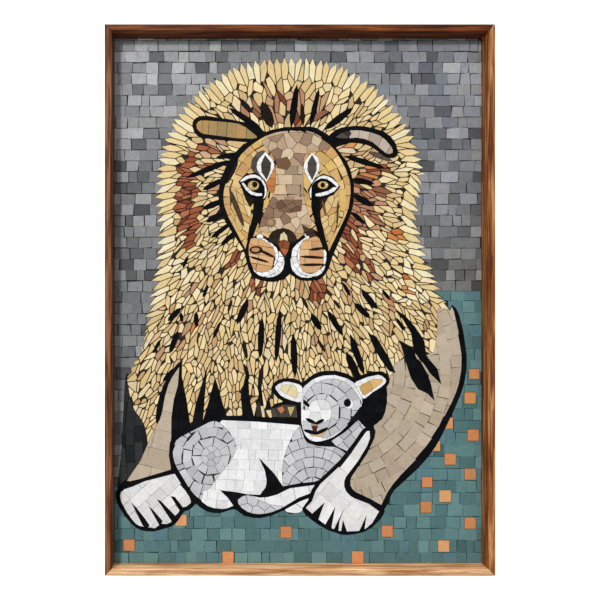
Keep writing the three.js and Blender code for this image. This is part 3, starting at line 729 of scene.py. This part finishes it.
# Outline stones of the figures, and of the lion's head
outlineSetting = {"tries": 60, "rounds": 2, "sway": 3, "gap": 0.3, "rough": 0.2, "tilt": 0.008}
layArea("outline_stones", ["figure_outline"], dark, {**outlineSetting, "half": (7, 6)},
        [black, "#0d0e11", "#090a0d", "#101115"], [
    shape([(-54.2, -136.7), (-51.5, -131.4), (-49.6, -134.0), (-46.3, -142.5), (-39.1, -141.9), (-32.5, -141.2),
          (-19.4, -135.9), (-2.4, -137.2), (-0.6, -152.9), (-54.8, -151.6)], ["#43362e", "#3a3029", "#4a4139",
          "#46433c"], (9, 4.5), -1.4),
    shape([(-48.9, -138.0), (-44.9, -138.0), (-43.3, -152.4), (-46.4, -152.4)], ["#dccfa8"]),
    shape([(-41.7, -143.9), (-35.7, -143.2), (-33.8, -152.9), (-37.3, -152.9)], ["#e0cfa0"]),
    shape([(-27.3, -141.1), (-20.0, -138.0), (-17.5, -143.2), (-22.0, -148.4)], ["#b9784c"]),
    shape([(-13.5, -139.3), (-4.2, -139.0), (-9.7, -151.6)], ["#b3a266"]),
], seed=13)
layArea("head_outline_stones", ["head_outline"], dark, {**outlineSetting, "half": (6, 5)},
        [black, "#0d0e11", "#090a0d", "#100e0d"], [
    shape([(-52.2, 101.9), (-48.3, 91.4), (-35.2, 90.7), (-29.9, 93.3), (-35.8, 87.4), (-39.7, 80.9),
          (-44.3, 84.8), (-49.6, 88.1), (-54.8, 85.5), (-58.7, 83.5)], ["#c9a468", "#d2b07a"], (7, 5), -0.9),
    shape([(-7.6, 91.4), (2.8, 87.4), (12.0, 88.2), (6.8, 86.1), (-0.4, 80.2), (-3.7, 83.5)], ["#c7a274"],
          (8, 6)),
    shape([(10.7, 87.4), (17.3, 97.9), (21.2, 90.1), (25.8, 82.2), (17.3, 83.5)], ["#3b3027"], (7, 6)),
], seed=14)
layArea("shadow_stones", ["left_shadow"], dark, {"ring": (160.1, -182.5), "pitch": 11.5,
        "width": 22, "gap": 0.6}, ["#242525", "#2c2d2e", "#1f2021", "#333535"], seed=15)
layArea("mane_gap_stones", ["mane_gap_upper", "mane_gap_lower"], dark,
        {"half": (10, 6), "angle": -1.05, "gap": 0.5, "tries": 40}, [black, "#0f1014"], seed=16)

# Mane: long cut slivers that fan out from the face and fall down the chest
creams = ["#e7ce98", "#e2c68d", "#ecd6a6", "#dabd84", "#e6cd9b", "#d2b27c"]
fringeCreams = ["#efdfb2", "#ebd6a0", "#e6cc92", "#f0e2ba", "#e2c78d"]
tans = ["#d3ad84", "#c39a6c", "#d3b888", "#bd9068", "#dcc8a0"]
rusts = ["#9c5230", "#8f4a28", "#a9633c", "#7d4026"]
browns = ["#b07a58", "#a86f4c", "#8f5a3e", "#c08a66"]
oranges = ["#c9803f", "#b8652f", "#cf8a4c"]

faceMiddle = np.array((-14.2, 125.4))
zones = [
    ((-143.9, 132.0), 13, 70, 0.0, rusts, 0.85), ((-87.6, 53.4), 11, 8, 0.8, rusts, 0.9),
    ((-53.5, 16.7), 9, 13, 0.0, rusts, 0.85), ((26.4, 15.4), 11, 18, 0.0, rusts, 0.9),
    ((95.9, 41.6), 6, 16, 0.0, rusts, 0.95), ((71.0, 73.0), 14, 42, 0.25, rusts, 0.75),
    ((90.7, 132.0), 24, 44, 0.0, browns, 0.7), ((97.2, 168.7), 24, 10, 0.0, rusts + oranges, 0.8),
    ((126.0, 82.2), 12, 7, 0.6, oranges, 0.9), ((137.8, 40.3), 16, 12, 0.6, oranges + tans, 0.45),
    ((137.8, 14.1), 12, 5, 0.0, oranges, 0.8), ((123.4, -6.9), 8, 12, 0.0, browns, 0.7),
    ((-141.3, 16.7), 10, 12, 0.0, tans + oranges, 0.6), ((-138.7, -38.4), 8, 20, 0.0, oranges + tans, 0.5),
    ((-164.9, -38.4), 9, 9, 0.0, oranges, 0.4), ((-16.8, 256.5), 62, 24, 0.0, tans + browns, 0.6),
    ((-2.4, 239.5), 12, 14, 0.0, rusts, 0.6), ((-29.9, 257.8), 14, 14, 0.0, browns + rusts, 0.5),
    ((-95.4, 206.7), 34, 10, 0.0, browns + tans, 0.75), ((-121.6, 184.4), 16, 22, 0.0, rusts + tans, 0.6),
    ((74.9, 198.8), 22, 7, 0.0, oranges + tans, 0.6),
]


# Hair runs out from the brow: angle = atan2(z, x * narrow) + sway, and narrow falls below, so it turns down over the
# chest. Stones are longer at the crown
def maneFlow(spots, setting, rng):
    away = spots - np.array((-14.2, 163.5))
    side = np.clip((np.abs(away[:, 0]) - 78) / 105, 0, 1)
    narrow = np.where(away[:, 0] < 0, 1 - 0.75 * np.clip((-away[:, 1] - 140) / 90, 0, 1) * (1 - side),
                      1.1 - 0.25 * np.clip((-away[:, 1] - 190) / 60, 0, 1))
    angles = np.arctan2(away[:, 1], away[:, 0] * narrow) + rng.normal(size=len(spots)) * 0.27
    halves = np.stack([9.2 + rng.normal(size=len(spots)) * 2.9, 2.9 + rng.normal(size=len(spots)) * 0.7], 1)
    crown = np.clip((spots[:, 1] - 225) / 12, 0, 1) * np.clip(1.6 - np.abs(spots[:, 0]) / 70, 0, 1)
    halves = np.clip(halves, (4.5, 1.9), (15, 4.8)) * (1 + 0.4 * crown[:, None])
    count = len(setting["seeds"])
    halves[:count] = (17, 4.0)
    angles[:count] = setting["seedAngles"]
    return angles, halves


# A pointed stone starts 15 mm behind every sharp tip of the mane's rim above the legs
def maneTips(rim, setting):
    tips, inward = sharpCorners(rim)
    upper = tips[:, 1] > -110
    tips, inward = tips[upper], inward[upper]
    return {**setting, "seeds": tips + inward * 15, "seedAngles": np.arctan2(-inward[:, 1], -inward[:, 0])}


# Creams, every sixth stone tan; paler where |away / the mane's half size| > 0.98; inside each zone's turned ellipse
# its own palette, for its share of the stones
def maneTone(middle, rng):
    away = middle - faceMiddle
    tones = pickTones(creams, len(middle), rng, 0.05)
    some = rng.random(len(middle))
    tones = np.where((some < 0.16)[:, None], pickTones(tans, len(middle), rng), tones)
    edge = np.hypot(away[:, 0] / 158, away[:, 1] / 172)
    fringe = (edge > 0.98) & (away[:, 1] > -130)
    tones = np.where(fringe[:, None], pickTones(fringeCreams, len(middle), rng, 0.03), tones)
    for centre, reachX, reachZ, turn, palette, share in zones:
        d = middle - np.array(centre)
        x = d[:, 0] * math.cos(turn) + d[:, 1] * math.sin(turn)
        z = -d[:, 0] * math.sin(turn) + d[:, 1] * math.cos(turn)
        within = ((x / reachX) ** 2 + (z / reachZ) ** 2 < 1) & (rng.random(len(middle)) < share)
        tones = np.where(within[:, None], pickTones(palette, len(middle), rng), tones)
    return tones


gaps = [lens(*row) for row in [
    ((-86.3, 184.4), (-146.5, 160.8), 7.2, black), ((-96.7, 159.5), (-124.3, 145.1), 7.2, black),
    ((-99.4, 130.7), (-124.3, 120.2), 7.8, black), ((-96.7, 115.0), (-120.3, 103.2), 7.2, black),
    ((-87.6, 101.9), (-113.8, 82.2), 5.9, black), ((-81.0, 91.4), (-100.7, 71.7), 5.9, black),
    ((-79.7, 192.3), (-107.2, 187.0), 6.5, black), ((-45.6, 222.4), (-90.2, 252.6), 7.8, black),
    ((-33.8, 226.4), (-46.9, 260.4), 14, warmBlack), ((-8.9, 226.4), (-1.1, 282.7), 8.5, black),
    ((16.0, 227.7), (27.7, 277.5), 6.5, black), ((34.3, 223.7), (72.3, 252.6), 9.1, black),
    ((6.8, 229.0), (5.5, 257.8), 5.2, warmBlack), ((-60.1, 246.0), (-75.8, 264.4), 6.5, warmBlack),
    ((60.5, 189.7), (112.9, 173.9), 7.2, black), ((71.0, 159.5), (99.8, 153.0), 7.2, black),
    ((72.3, 138.6), (98.5, 124.1), 8.5, black), ((69.7, 116.3), (88.0, 100.5), 5.9, black),
    ((92.0, 194.9), (123.4, 183.1), 6.5, "#5b4a44"), ((-65.3, 1.0), (-79.7, -30.5), 8.5, black),
    ((-46.9, -21.3), (-49.6, -75.1), 7.8, black), ((-23.4, -10.8), (-28.6, -80.3), 7.2, black),
    ((-6.3, -42.3), (-3.7, -100.0), 8.5, black), ((-153.1, -9.5), (-170.1, -26.6), 7.2, black),
    ((-157.0, -39.7), (-167.5, -68.5), 7.2, black), ((-71.8, -52.8), (-66.6, -76.4), 5.2, warmBlack),
    ((-153.1, -16.1), (-151.8, -27.9), 4.5, black), ((17.3, -17.4), (30.4, -38.4), 8.5, black),
    ((38.2, -12.2), (59.2, -46.2), 7.2, black), ((73.6, -3.0), (94.6, -22.6), 7.8, black),
    ((82.8, 14.1), (103.8, -10.8), 7.8, black), ((68.4, -43.6), (86.7, -97.3), 8.5, black),
    ((63.1, -67.2), (80.2, -102.6), 9.8, black), ((-161.0, -88.2), (-176.7, -105.2), 5.2, black),
    ((-133.4, -14.8), (-132.8, -34.4), 6, black), ((5.5, 4.9), (13.3, -10.8), 4, warmBlack),
    ((59.2, 23.2), (68.4, 6.2), 4.5, black), ((128.7, -22.6), (140.5, -39.7), 4, black),
    ((-102.0, -27.9), (-109.9, -48.8), 4, black), ((-86.3, 1.0), (-91.5, -14.8), 3.6, warmBlack),
    ((-117.7, 20.6), (-124.3, 4.9), 4, black), ((-143.9, 58.6), (-150.5, 42.9), 4, black),
    ((26.4, -51.5), (35.6, -67.2), 4, warmBlack), ((47.4, 1.0), (55.3, -10.8), 3.6, warmBlack),
    ((110.3, 14.1), (120.8, 1.0), 4, black), ((-180.6, -51.5), (-188.5, -67.2), 4, black),
    ((-70.5, -82.9), (-64.0, -102.6), 5, warmBlack), ((-46.9, -85.5), (-50.9, -119.6), 6, warmBlack),
]]
maneSetting = {"half": (9.4, 2.8), "flow": maneFlow, "tips": maneTips, "gap": 1.2, "tries": 20, "rounds": 1,
               "point": 1.3, "pointVaries": 0.8, "slant": 0.6, "rough": 0.8, "tilt": 0.05, "least": 3}
layArea("mane_stones", ["mane"], honed, maneSetting, maneTone, gaps, seed=21)

# Lion's legs and paws
tanPalette = ["#b6a690", "#af9e88", "#bcac97", "#b2a18a", "#b7a894"]
layArea("right_leg_stones", ["lion_right_leg"], honed, {"ring": (42.2, -93.4), "pitch": 15,
        "width": 17, "gap": 0.3, "wobble": 0.35}, tanPalette, seed=31)
layArea("left_leg_stones", ["lion_left_leg"], honed, {"angle": -0.24, "pitch": 25, "width": 32,
        "start": 4, "gap": 0.4}, tanPalette, seed=32)
pawWhites = ["#e0dfdd", "#dbdad8", "#e5e4e2", "#d8d7d5"]
whites = ["#e6e6e6", "#e2e2e2", "#eaeaea", "#dedede"]
layArea("right_paw_stones", ["lion_right_paw"], honed, {"angle": 0.9, "pitch": 20, "width": 22,
        "gap": 0.15, "wobble": 0.1}, pawWhites, seed=33)
layArea("left_paw_stones", ["lion_left_paw"], honed, {"angle": 0.75, "pitch": 15, "width": 22,
        "gap": 0.3}, pawWhites, seed=34)

# Lamb
greys = ["#c4c4c6", "#bebec1", "#cacacc", "#b8b8bb", "#c1c1c4"]
layArea("lamb_body_stones", ["lamb_body"], honed, {"angle": -0.03, "pitch": 13.5, "width": 14,
        "gap": 0.22, "wobble": 0.1}, whites, seed=41)
layArea("lamb_haunch_stones", ["lamb_haunch"], honed, {"ring": (-113.8, -203.5),
        "pitch": 12.5, "start": -4.7, "width": 12.5, "uneven": 0.28, "wobble": 0.7, "gap": 0.7}, greys, [
    disc((-113.8, -203.5), 13.2, 13.2, greys, (6.2, 5.4)),
], seed=42)
layArea("lamb_chest_stones", ["lamb_chest"], honed, {"ring": (19.9, -250.7), "pitch": 13,
        "width": 13, "gap": 0.7}, greys, seed=43)
layArea("lamb_neck_stones", ["lamb_neck"], honed, {"angle": 0.75, "pitch": 15, "width": 14},
        greys, seed=44)
layArea("lamb_foreleg_stones", ["lamb_foreleg"], honed, {"angle": 0.2, "pitch": 30, "width": 19,
        "gap": 0.45}, whites, seed=45)
layArea("lamb_hoof_stones", ["lamb_hoof"], honed, {"half": (8, 6), "angle": -0.3}, greys,
        seed=46)
layArea("lamb_foot_stones", ["lamb_foot"], honed, {"half": (12, 8)}, whites, seed=47)
layArea("lamb_head_stones", ["lamb_head"], honed, {"half": (9, 8), "gap": 0.35}, whites, [
    shape([(6.8, -157.0), (17.3, -160.2), (17.9, -171.4), (8.1, -169.4)], ["#bfc0c3"], (12, 12)),
    shape([(26.4, -162.9), (42.2, -155.0), (40.2, -168.1), (26.4, -173.3)], ["#bcbdc0"], (12, 12)),
    shape([(14.6, -172.7), (26.4, -174.7), (40.9, -167.4), (36.9, -174.7), (30.4, -178.6), (17.3, -176.6)],
          ["#d3ab80", "#dbbd92"], (9, 9)),
    shape([(17.9, -157.0), (25.8, -160.9), (25.8, -166.8), (18.6, -166.8)], ["#b48a76"], (12, 12)),
    shape([(18.8, -164.2), (24.9, -164.2), (24.9, -173.3), (19.6, -173.3)], ["#4a2318"], (12, 12)),
    line((7.4, -169.4), (26.4, -174.7), 4.4, black), line((21.2, -175.3), (41.5, -166.1), 4.4, black),
    line((10.1, -154.3), (23.8, -160.9), 4.2, black), line((22.5, -161.6), (34.3, -155.7), 4.2, black),
], seed=48)
layArea("lamb_face_stones", ["lamb_face"], honed, {"ring": (31.7, -145.8), "pitch": 14,
        "start": 5, "width": 14, "gap": 0.6, "least": 0.5}, greys, [
    disc((66.8, -135.3), 5.8, 6.4, ["#eeeeec"]), disc((64.8, -133.8), 4.5, 5.1, [black]),
    lens((4.2, -128.8), (16.0, -139.3), 4.2, black),
], seed=49)
layArea("lamb_ear_left_stones", ["lamb_ear_left"], honed, {"half": (6, 6), "gap": 0.35}, whites,
        seed=51)
layArea("lamb_ear_left_inner_stones", ["lamb_ear_left_inner"], honed, {"half": (8, 7),
        "gap": 0.5}, ["#e9dcb4", "#e3d3a2"], seed=52)
layArea("lamb_ear_right_stones", ["lamb_ear_right"], honed, {"half": (6, 6), "gap": 0.35},
        whites, seed=53)
layArea("lamb_ear_right_inner_stones", ["lamb_ear_right_inner"], honed, {"half": (8, 8),
        "gap": 0.5}, ["#c99f58", "#d0aa66"], seed=54)

# Lion's face
ochres = ["#d9b36a", "#cda860", "#d6ae74", "#cfa467", "#dcbc80", "#c99c5e"]
bridges = ["#c4a98a", "#b29a7c", "#a88c70", "#cbb292", "#b7a083", "#bfa484"]
cheeks = ["#dcc48c", "#d3b06c", "#c99c5e", "#d9bb80"]
mixed = ["#c9b196", "#b39678", "#a08068", "#866650", "#cfb99d", "#94775f", "#bda386", "#c4a684"]


# Ochres, and the colours of the bridge on the brow between the eyes
def faceTone(middle, rng):
    tones = pickTones(ochres, len(middle), rng)
    brow = (middle[:, 1] > 211.9) & (np.abs(middle[:, 0] - 0.2) < 42)
    return np.where(brow[:, None], pickTones(bridges, len(middle), rng), tones)


layArea("face_stones", ["lion_face"], honed, {"ring": (-12.9, 134.6), "pitch": 12.5, "width": 13,
        "uneven": 0.2, "wobble": 0.5, "gap": 0.7}, faceTone, [
    shape([(-83.6, 145.1), (-73.2, 147.7), (-61.4, 122.8), (-62.7, 103.2), (-66.6, 79.6), (-78.4, 95.3),
          (-88.9, 116.3)], cheeks, (8.5, 3.6), -1.15, sway=0.12, gap=0.7, rounds=1),
    shape([(29.1, 124.1), (42.2, 137.2), (52.6, 145.1), (55.3, 116.3), (48.7, 92.7), (40.9, 75.6),
          (30.4, 103.2)], cheeks, (8.5, 3.6), 1.0, sway=0.25, gap=0.7, rounds=1),
    shape([(-53.5, 193.6), (-45.6, 196.9), (-41.7, 194.2), (-49.6, 187.0), (-53.5, 175.2), (-49.6, 164.8),
          (-45.6, 158.2), (-54.8, 163.5), (-61.4, 173.9), (-60.1, 184.4)], ["#5b5046", "#4a423a"], (7, 5), 1.3),
    shape([(-39.1, 166.1), (-29.9, 176.6), (-26.6, 155.6), (-32.5, 141.2), (-43.0, 145.1), (-44.3, 153.0)],
          ["#c47a32", "#cb8440", "#bb7030"], (8, 6)),
    lens((-78.4, 184.4), (-94.1, 153.0), 6, warmBlack), lens((-90.2, 147.7), (-70.5, 96.6), 6.5, "#4c3a2c"),
    shape([(-74.5, 150.3), (-67.9, 141.2), (-57.4, 135.9), (-58.1, 128.1), (-62.7, 122.8), (-68.6, 133.3)],
          ["#241a14"], (7, 6), -1.0),
    shape([(28.4, 134.0), (40.2, 136.6), (35.6, 128.1), (29.7, 118.9)], ["#2c2018"], (7, 6), -1.0),
    shape([(-77.6, 155.6), (-69.2, 165.0), (-56.1, 167.6), (-45.0, 160.8), (-39.3, 146.4), (-43.0, 132.0),
          (-56.1, 133.3), (-67.9, 138.6)], [black], (8, 5)),
    shape([(55.3, 149.0), (46.1, 161.5), (33.0, 166.1), (21.2, 159.5), (13.3, 145.1), (16.0, 132.0),
          (30.4, 133.3), (46.1, 138.6)], [black], (8, 5)),
    line((31.7, 132.0), (36.9, 111.0), 3, "#6d4f2c"), line((52.6, 132.0), (51.3, 97.9), 2.4, "#4f3a22"),
], seed=61)


# Pale on the left of the bridge, brown on its right
def bridgeTone(middle, rng):
    tones = pickTones(["#cdb48f", "#c7ab84", "#d2bb98"], len(middle), rng)
    return np.where(middle[:, :1] > -10.3, pickTones(["#ad977c", "#a38b70", "#b9a386"], len(middle), rng), tones)


layArea("bridge_stones", ["lion_nose_bridge"], honed, {"angle": 0.0, "pitch": 13.2,
        "width": 16.5, "uneven": 0.1, "wobble": 0.4, "gap": 0.65}, bridgeTone, [
    shape([(-56.1, 209.3), (-33.8, 223.7), (2.8, 226.4), (47.4, 202.8), (26.4, 192.3), (14.6, 192.3),
          (8.1, 184.4), (6.8, 176.6), (-27.3, 176.6), (-29.9, 187.0), (-39.1, 197.5)], mixed, (8, 7.2), 0.6,
          sway=3, gap=0.65),
    shape([(-33.8, 135.9), (9.4, 135.9), (12.0, 122.8), (19.9, 103.2), (16.0, 84.8), (-19.4, 90.1),
          (-53.5, 87.4), (-50.9, 104.5), (-40.4, 124.1)], mixed, (7.6, 6.6), 0.6, sway=3, gap=0.65),
    shape([(-28.6, 126.8), (-23.4, 132.0), (5.5, 132.0), (4.2, 117.6), (-11.6, 115.0), (-24.7, 117.6)],
          ["#7a5b44", "#86664c", "#6d4c3a"], (7, 5), 0.1),
    shape([(-28.6, 184.4), (-14.2, 188.4), (-8.9, 179.2), (-14.2, 171.3), (-27.3, 173.9)],
          ["#6e5238", "#7b6048"], (8, 7), 0.3),
    shape([(5.5, 99.2), (16.0, 94.0), (21.2, 82.2), (10.7, 82.2)], ["#4a3a2c"], (8, 8)),
    disc((-35.8, 102.5), 7, 6.4, ["#8f7050"]), disc((-35.8, 102.5), 4.2, 3.8, ["#a98a66"]),
], seed=62)
layArea("ear_left_stones", ["lion_ear_left"], honed, {"angle": -0.08, "pitch": 40, "width": 11,
        "gap": 0.5}, ["#b08a50", "#9c8252", "#a88a56", "#94743f"], seed=63)
layArea("ear_right_stones", ["lion_ear_right"], honed, {"ring": (68.4, 112.3), "pitch": 60,
        "width": 14, "gap": 0.5}, ["#b5a493", "#bdae9e", "#ab9a89"], [
    shape([(46.1, 210.6), (51.3, 221.1), (67.1, 225.0), (69.7, 218.5), (63.1, 210.6)], ["#34302c", "#4a463d"],
          (9, 6)),
], seed=64)
rimWhites = ["#f1f1f0", "#eaeae9"]
rimSetting = {"pitch": 7.0, "start": 1.0, "width": 8.5, "gap": 0.5, "least": 0.8}
layArea("muzzle_rim_left_stones", ["muzzle_rim_left"], honed, {**rimSetting,
        "ring": (-46.9, 59.9)}, rimWhites, [
    shape([(-45.0, 84.0), (-41.7, 86.1), (-31.2, 80.9), (-22.0, 70.4), (-16.2, 58.6), (-19.4, 58.6),
          (-24.7, 67.0), (-33.8, 75.1), (-41.1, 79.6)], [black]),
], seed=65)
layArea("muzzle_rim_right_stones", ["muzzle_rim_right"], honed, {**rimSetting,
        "ring": (18.6, 58.6)}, rimWhites, [
    shape([(8.1, 85.6), (2.8, 82.5), (-3.7, 77.2), (-8.2, 70.9), (-5.5, 69.9), (-1.1, 74.9), (4.9, 79.6),
          (9.9, 83.0)], [black]),
], seed=66)
muzzles = ["#cf9d6a", "#d8aa76", "#c9935f", "#ddb586"]
layArea("muzzle_left_stones", ["muzzle_left"], honed, {"angle": -0.18, "pitch": 12, "width": 22,
        "gap": 0.6}, muzzles, [
    disc((-54.8, 66.5), 8.4, 4.8, [warmBlack]), disc((-55.3, 66.7), 5.6, 2.8, ["#c08a60"]),
    line((-50.9, 66.5), (-29.9, 56.6), 3.4, warmBlack), line((-64.0, 58.0), (-37.8, 50.1), 2.8, warmBlack),
], seed=67)
layArea("muzzle_right_stones", ["muzzle_right"], honed, {"angle": 0.02, "pitch": 10.4,
        "start": 3, "width": 26, "gap": 0.5}, muzzles, [
    line((14.6, 66.5), (35.6, 69.1), 3.2, warmBlack), line((2.8, 58.0), (35.6, 56.0), 3.2, warmBlack),
    line((2.8, 46.8), (34.3, 47.3), 3.2, warmBlack),
], seed=68)
layArea("nose_stones", ["lion_nose"], dark, {"half": (7, 6), "gap": 0.4}, ["#2b211b", "#33281f"],
        [
    shape([(-26.0, 75.6), (-18.1, 80.9), (-10.3, 75.6), (-12.9, 65.2), (-16.8, 58.6), (-22.0, 65.2)],
          ["#a8623c", "#8c4e30"], (6, 7)),
    shape([(-24.0, 78.3), (-22.7, 86.8), (-18.1, 90.1), (-14.2, 84.8), (-13.5, 78.3), (-18.8, 80.2)],
          ["#dcc9a2"], (9, 9)),
], seed=69)

# Eyes: white lids, a black rim, a yellow iris and a black pupil
eyeWhites = ["#f2f2f1", "#ebebea"]
eyeSetting = {"half": (5.5, 5.5), "gap": 0.35}
layArea("eye_left_stones", ["lion_eye_left"], honed, eyeSetting, eyeWhites, [
    shape([(-75.8, 154.9), (-70.5, 156.6), (-64.0, 160.0), (-54.8, 160.8), (-48.3, 156.9), (-43.9, 149.0),
          (-43.5, 139.9), (-46.2, 132.0), (-54.8, 132.0), (-67.9, 137.2), (-77.1, 149.0)], [black], (7, 6)),
    shape([(-73.7, 153.8), (-71.1, 154.5), (-66.0, 148.3), (-60.1, 143.0), (-53.5, 140.8), (-46.9, 140.6),
          (-46.9, 137.5), (-53.5, 137.0), (-61.4, 139.1), (-67.9, 144.6)], eyeWhites, (4.5, 4)),
    disc((-58.2, 150.9), 7.4, 6.2, ["#b99a5a", "#cdb27a"], (6, 8)), disc((-56.4, 152.2), 3.2, 3.6, ["#1f130d"]),
    disc((-61.9, 149.8), 1.5, 1.4, ["#e2d3a4"]),
], seed=71)
layArea("eye_right_stones", ["lion_eye_right"], honed, eyeSetting, eyeWhites, [
    shape([(17.8, 132.0), (18.1, 150.3), (22.5, 156.1), (30.4, 160.0), (38.2, 159.0), (44.8, 154.3),
          (50.7, 149.0), (46.1, 138.6), (31.7, 132.0)], [black], (7, 6)),
    shape([(23.2, 139.9), (31.7, 141.7), (39.5, 143.8), (46.1, 148.3), (52.6, 149.0), (47.4, 143.0),
          (39.5, 139.3), (30.4, 136.7), (23.2, 137.0)], eyeWhites, (4.5, 4)),
    disc((33.0, 151.4), 7.0, 5.0, ["#d8c47e", "#c9a860"], (6, 8)), disc((32.5, 151.4), 2.7, 3.0, ["#1c1410"]),
    disc((37.7, 151.9), 1.5, 1.7, ["#e6dca8"]),
], seed=72)
layArea("brow_left_stones", ["brow_mark_left"], honed, {"half": (5, 5), "gap": 0.35}, eyeWhites,
        [
    shape([(-43.0, 190.4), (-35.4, 180.5), (-36.2, 170.8), (-40.9, 159.0), (-47.2, 168.2), (-48.0, 179.2)],
          ["#3f3a32"], (9, 9)),
], seed=73)
layArea("brow_right_stones", ["brow_mark_right"], honed, {"half": (5, 5), "gap": 0.35},
        eyeWhites, [
    shape([(18.6, 190.7), (24.3, 180.5), (24.1, 170.8), (18.6, 158.2), (12.9, 170.5), (13.1, 180.5)],
          ["#4a463f"], (9, 9)),
], seed=74)
say(f"{stoneTotal} stones in all, {triangleTotal} triangles")

# Adhesive bed: its surface stands up between the stones, uneven, 1.65 to 1.9 mm below their faces
bedLow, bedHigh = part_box("adhesive_bed")
bedBack = -bedHigh[1] * 1000
bedSetting = {"columns": 121, "rows": 173, "below": 1.9, "uneven": 0.25}


# A grid over the whole bed: height = stones' front - below + uneven * random, closed by sides and a flat back
def bedSurface():
    columns, rows = bedSetting["columns"], bedSetting["rows"]
    x = np.linspace(bedLow[0], bedHigh[0], columns) * 1000
    z = np.linspace(bedLow[2], bedHigh[2], rows) * 1000
    gridX, gridZ = np.meshgrid(x, z)
    rng = np.random.default_rng(5)
    height = stoneFront - bedSetting["below"] + bedSetting["uneven"] * rng.random(gridX.shape)
    front = np.stack([gridX, -height, gridZ], -1).reshape(-1, 3)
    back = np.stack([gridX, np.full(gridX.shape, -bedBack), gridZ], -1).reshape(-1, 3)
    points = np.concatenate([front, back]) / 1000
    ids = np.arange(columns * rows).reshape(rows, columns)
    total = columns * rows
    a, b, c, d = ids[:-1, :-1], ids[:-1, 1:], ids[1:, 1:], ids[1:, :-1]
    faces = [np.stack([a, b, c, d], -1).reshape(-1, 4), np.stack([d, c, b, a], -1).reshape(-1, 4) + total]
    ring = np.concatenate([ids[0, :-1], ids[:-1, -1], ids[-1, :0:-1], ids[:0:-1, 0]])
    after = np.roll(ring, -1)
    faces.append(np.stack([after, ring, ring + total, after + total], -1))
    mesh = bpy.data.meshes.new("bed_surface")
    mesh.from_pydata(points.tolist(), [], np.concatenate(faces).tolist())
    mesh.update()
    return mesh


# Set dark tile adhesive, sandy and matt: colour and bump both from one fine noise
def beddingMaterial():
    material, tree, shader = newMaterial("set_tile_adhesive", 0.95)
    sand = noise(tree, addNode(tree, "ShaderNodeTexCoord").outputs["Object"], 700.0, 3.0)
    ramp = addNode(tree, "ShaderNodeValToRGB", {"Fac": sand})
    ramp.color_ramp.elements[0].color = rgba("#0f0d0b")
    ramp.color_ramp.elements[1].color = rgba("#2c2621")
    tree.links.new(ramp.outputs[0], shader.inputs["Base Color"])
    addBump(tree, shader, sand, 0.6, 0.0006)
    return material


bedMesh = bedSurface()
bedMesh.materials.append(beddingMaterial())
bed = bpy.data.objects.new("bed_surface", bedMesh)
bpy.context.scene.collection.objects.link(bed)
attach(bed, "root")
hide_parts("adhesive_bed")

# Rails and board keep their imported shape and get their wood
woods = {"left": woodMaterial("oiled_hardwood_left", (260, 260, 13), ["#44200d", "#6d3f20", "#976541"], 0.5),
    "right": woodMaterial("oiled_hardwood_right", (260, 260, 13), ["#5e2c10", "#905326", "#c88c55"], 0.5),
    "top": woodMaterial("oiled_hardwood_top", (13, 260, 260), ["#3a1908", "#643012", "#8a4c20"], 0.5),
    # Bottom rail: paler colours, brightened 1.9 times where it faces up, which is painted light from above on its inner
    # face
    "bottom": woodMaterial("oiled_hardwood_bottom", (13, 260, 260), ["#a06d44", "#cd986a", "#ecc294"], 0.5,
    1.9), }
plyWood = woodMaterial("plywood_back", (7, 200, 90), ["#a47c4e", "#b58a5a", "#c29a6a"], 0.75)


def dress(name, material):
    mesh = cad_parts[name].data
    mesh.materials.clear()
    mesh.materials.append(material)


for side, wood in woods.items():
    dress(f"frame_rail_{side}", wood)
dress("backing_board", plyWood)
say("bed, rails and board done")

# Backdrop: a plain pale wall behind the panel
wallMesh = bpy.data.meshes.new("backdrop")
wallMesh.from_pydata([(x, 0.5, z) for x, z in square(0, 0, 6)], [], [(0, 1, 2, 3)])
wallMaterial, _, wallShader = newMaterial("pale_wall", 0.9)
wallShader.inputs["Base Color"].default_value = rgba("#fbfbfb")
wallShader.inputs["Emission Color"].default_value = (1, 1, 1, 1)
wallShader.inputs["Emission Strength"].default_value = 0.55
wallMesh.materials.append(wallMaterial)
wall = bpy.data.objects.new("backdrop", wallMesh)
bpy.context.scene.collection.objects.link(wall)


# Lights: a broad key from the upper left, soft surroundings
def sunLight(name, direction, strength, angle):
    light = bpy.data.lights.new(name, "SUN")
    light.energy = strength
    light.angle = math.radians(angle)
    holder = bpy.data.objects.new(name, light)
    source = -np.array(direction) / np.linalg.norm(direction)
    holder.rotation_euler = (math.acos(source[2]), 0, math.atan2(source[1], source[0]) + math.pi / 2)
    bpy.context.scene.collection.objects.link(holder)


sunLight("key", (0.42, 1.0, -0.38), 1.85, 9)
world = bpy.data.worlds.new("studio")
world.use_nodes = True
world.node_tree.nodes["Background"].inputs["Color"].default_value = (1, 1, 1, 1)
world.node_tree.nodes["Background"].inputs["Strength"].default_value = 0.53
bpy.context.scene.world = world
bpy.context.scene.view_settings.view_transform = "Standard"

# Camera: square on to the panel, a metre in front of it, standing left of and below its middle
panelFront = -0.040
frameWide = 0.7673
distance = 1.0
foot = (-0.115, -0.038)
optics = bpy.data.cameras.new("camera")
optics.sensor_width = 36
optics.lens = 36 * distance / frameWide
optics.shift_x = -foot[0] / frameWide
optics.shift_y = -foot[1] / frameWide
optics.dof.use_dof = False
camera = bpy.data.objects.new("camera", optics)
camera.location = (foot[0], panelFront - distance, foot[1])
camera.rotation_euler = (math.pi / 2, 0, 0)
bpy.context.scene.collection.objects.link(camera)
bpy.context.scene.camera = camera

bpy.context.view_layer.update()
say("scene done")
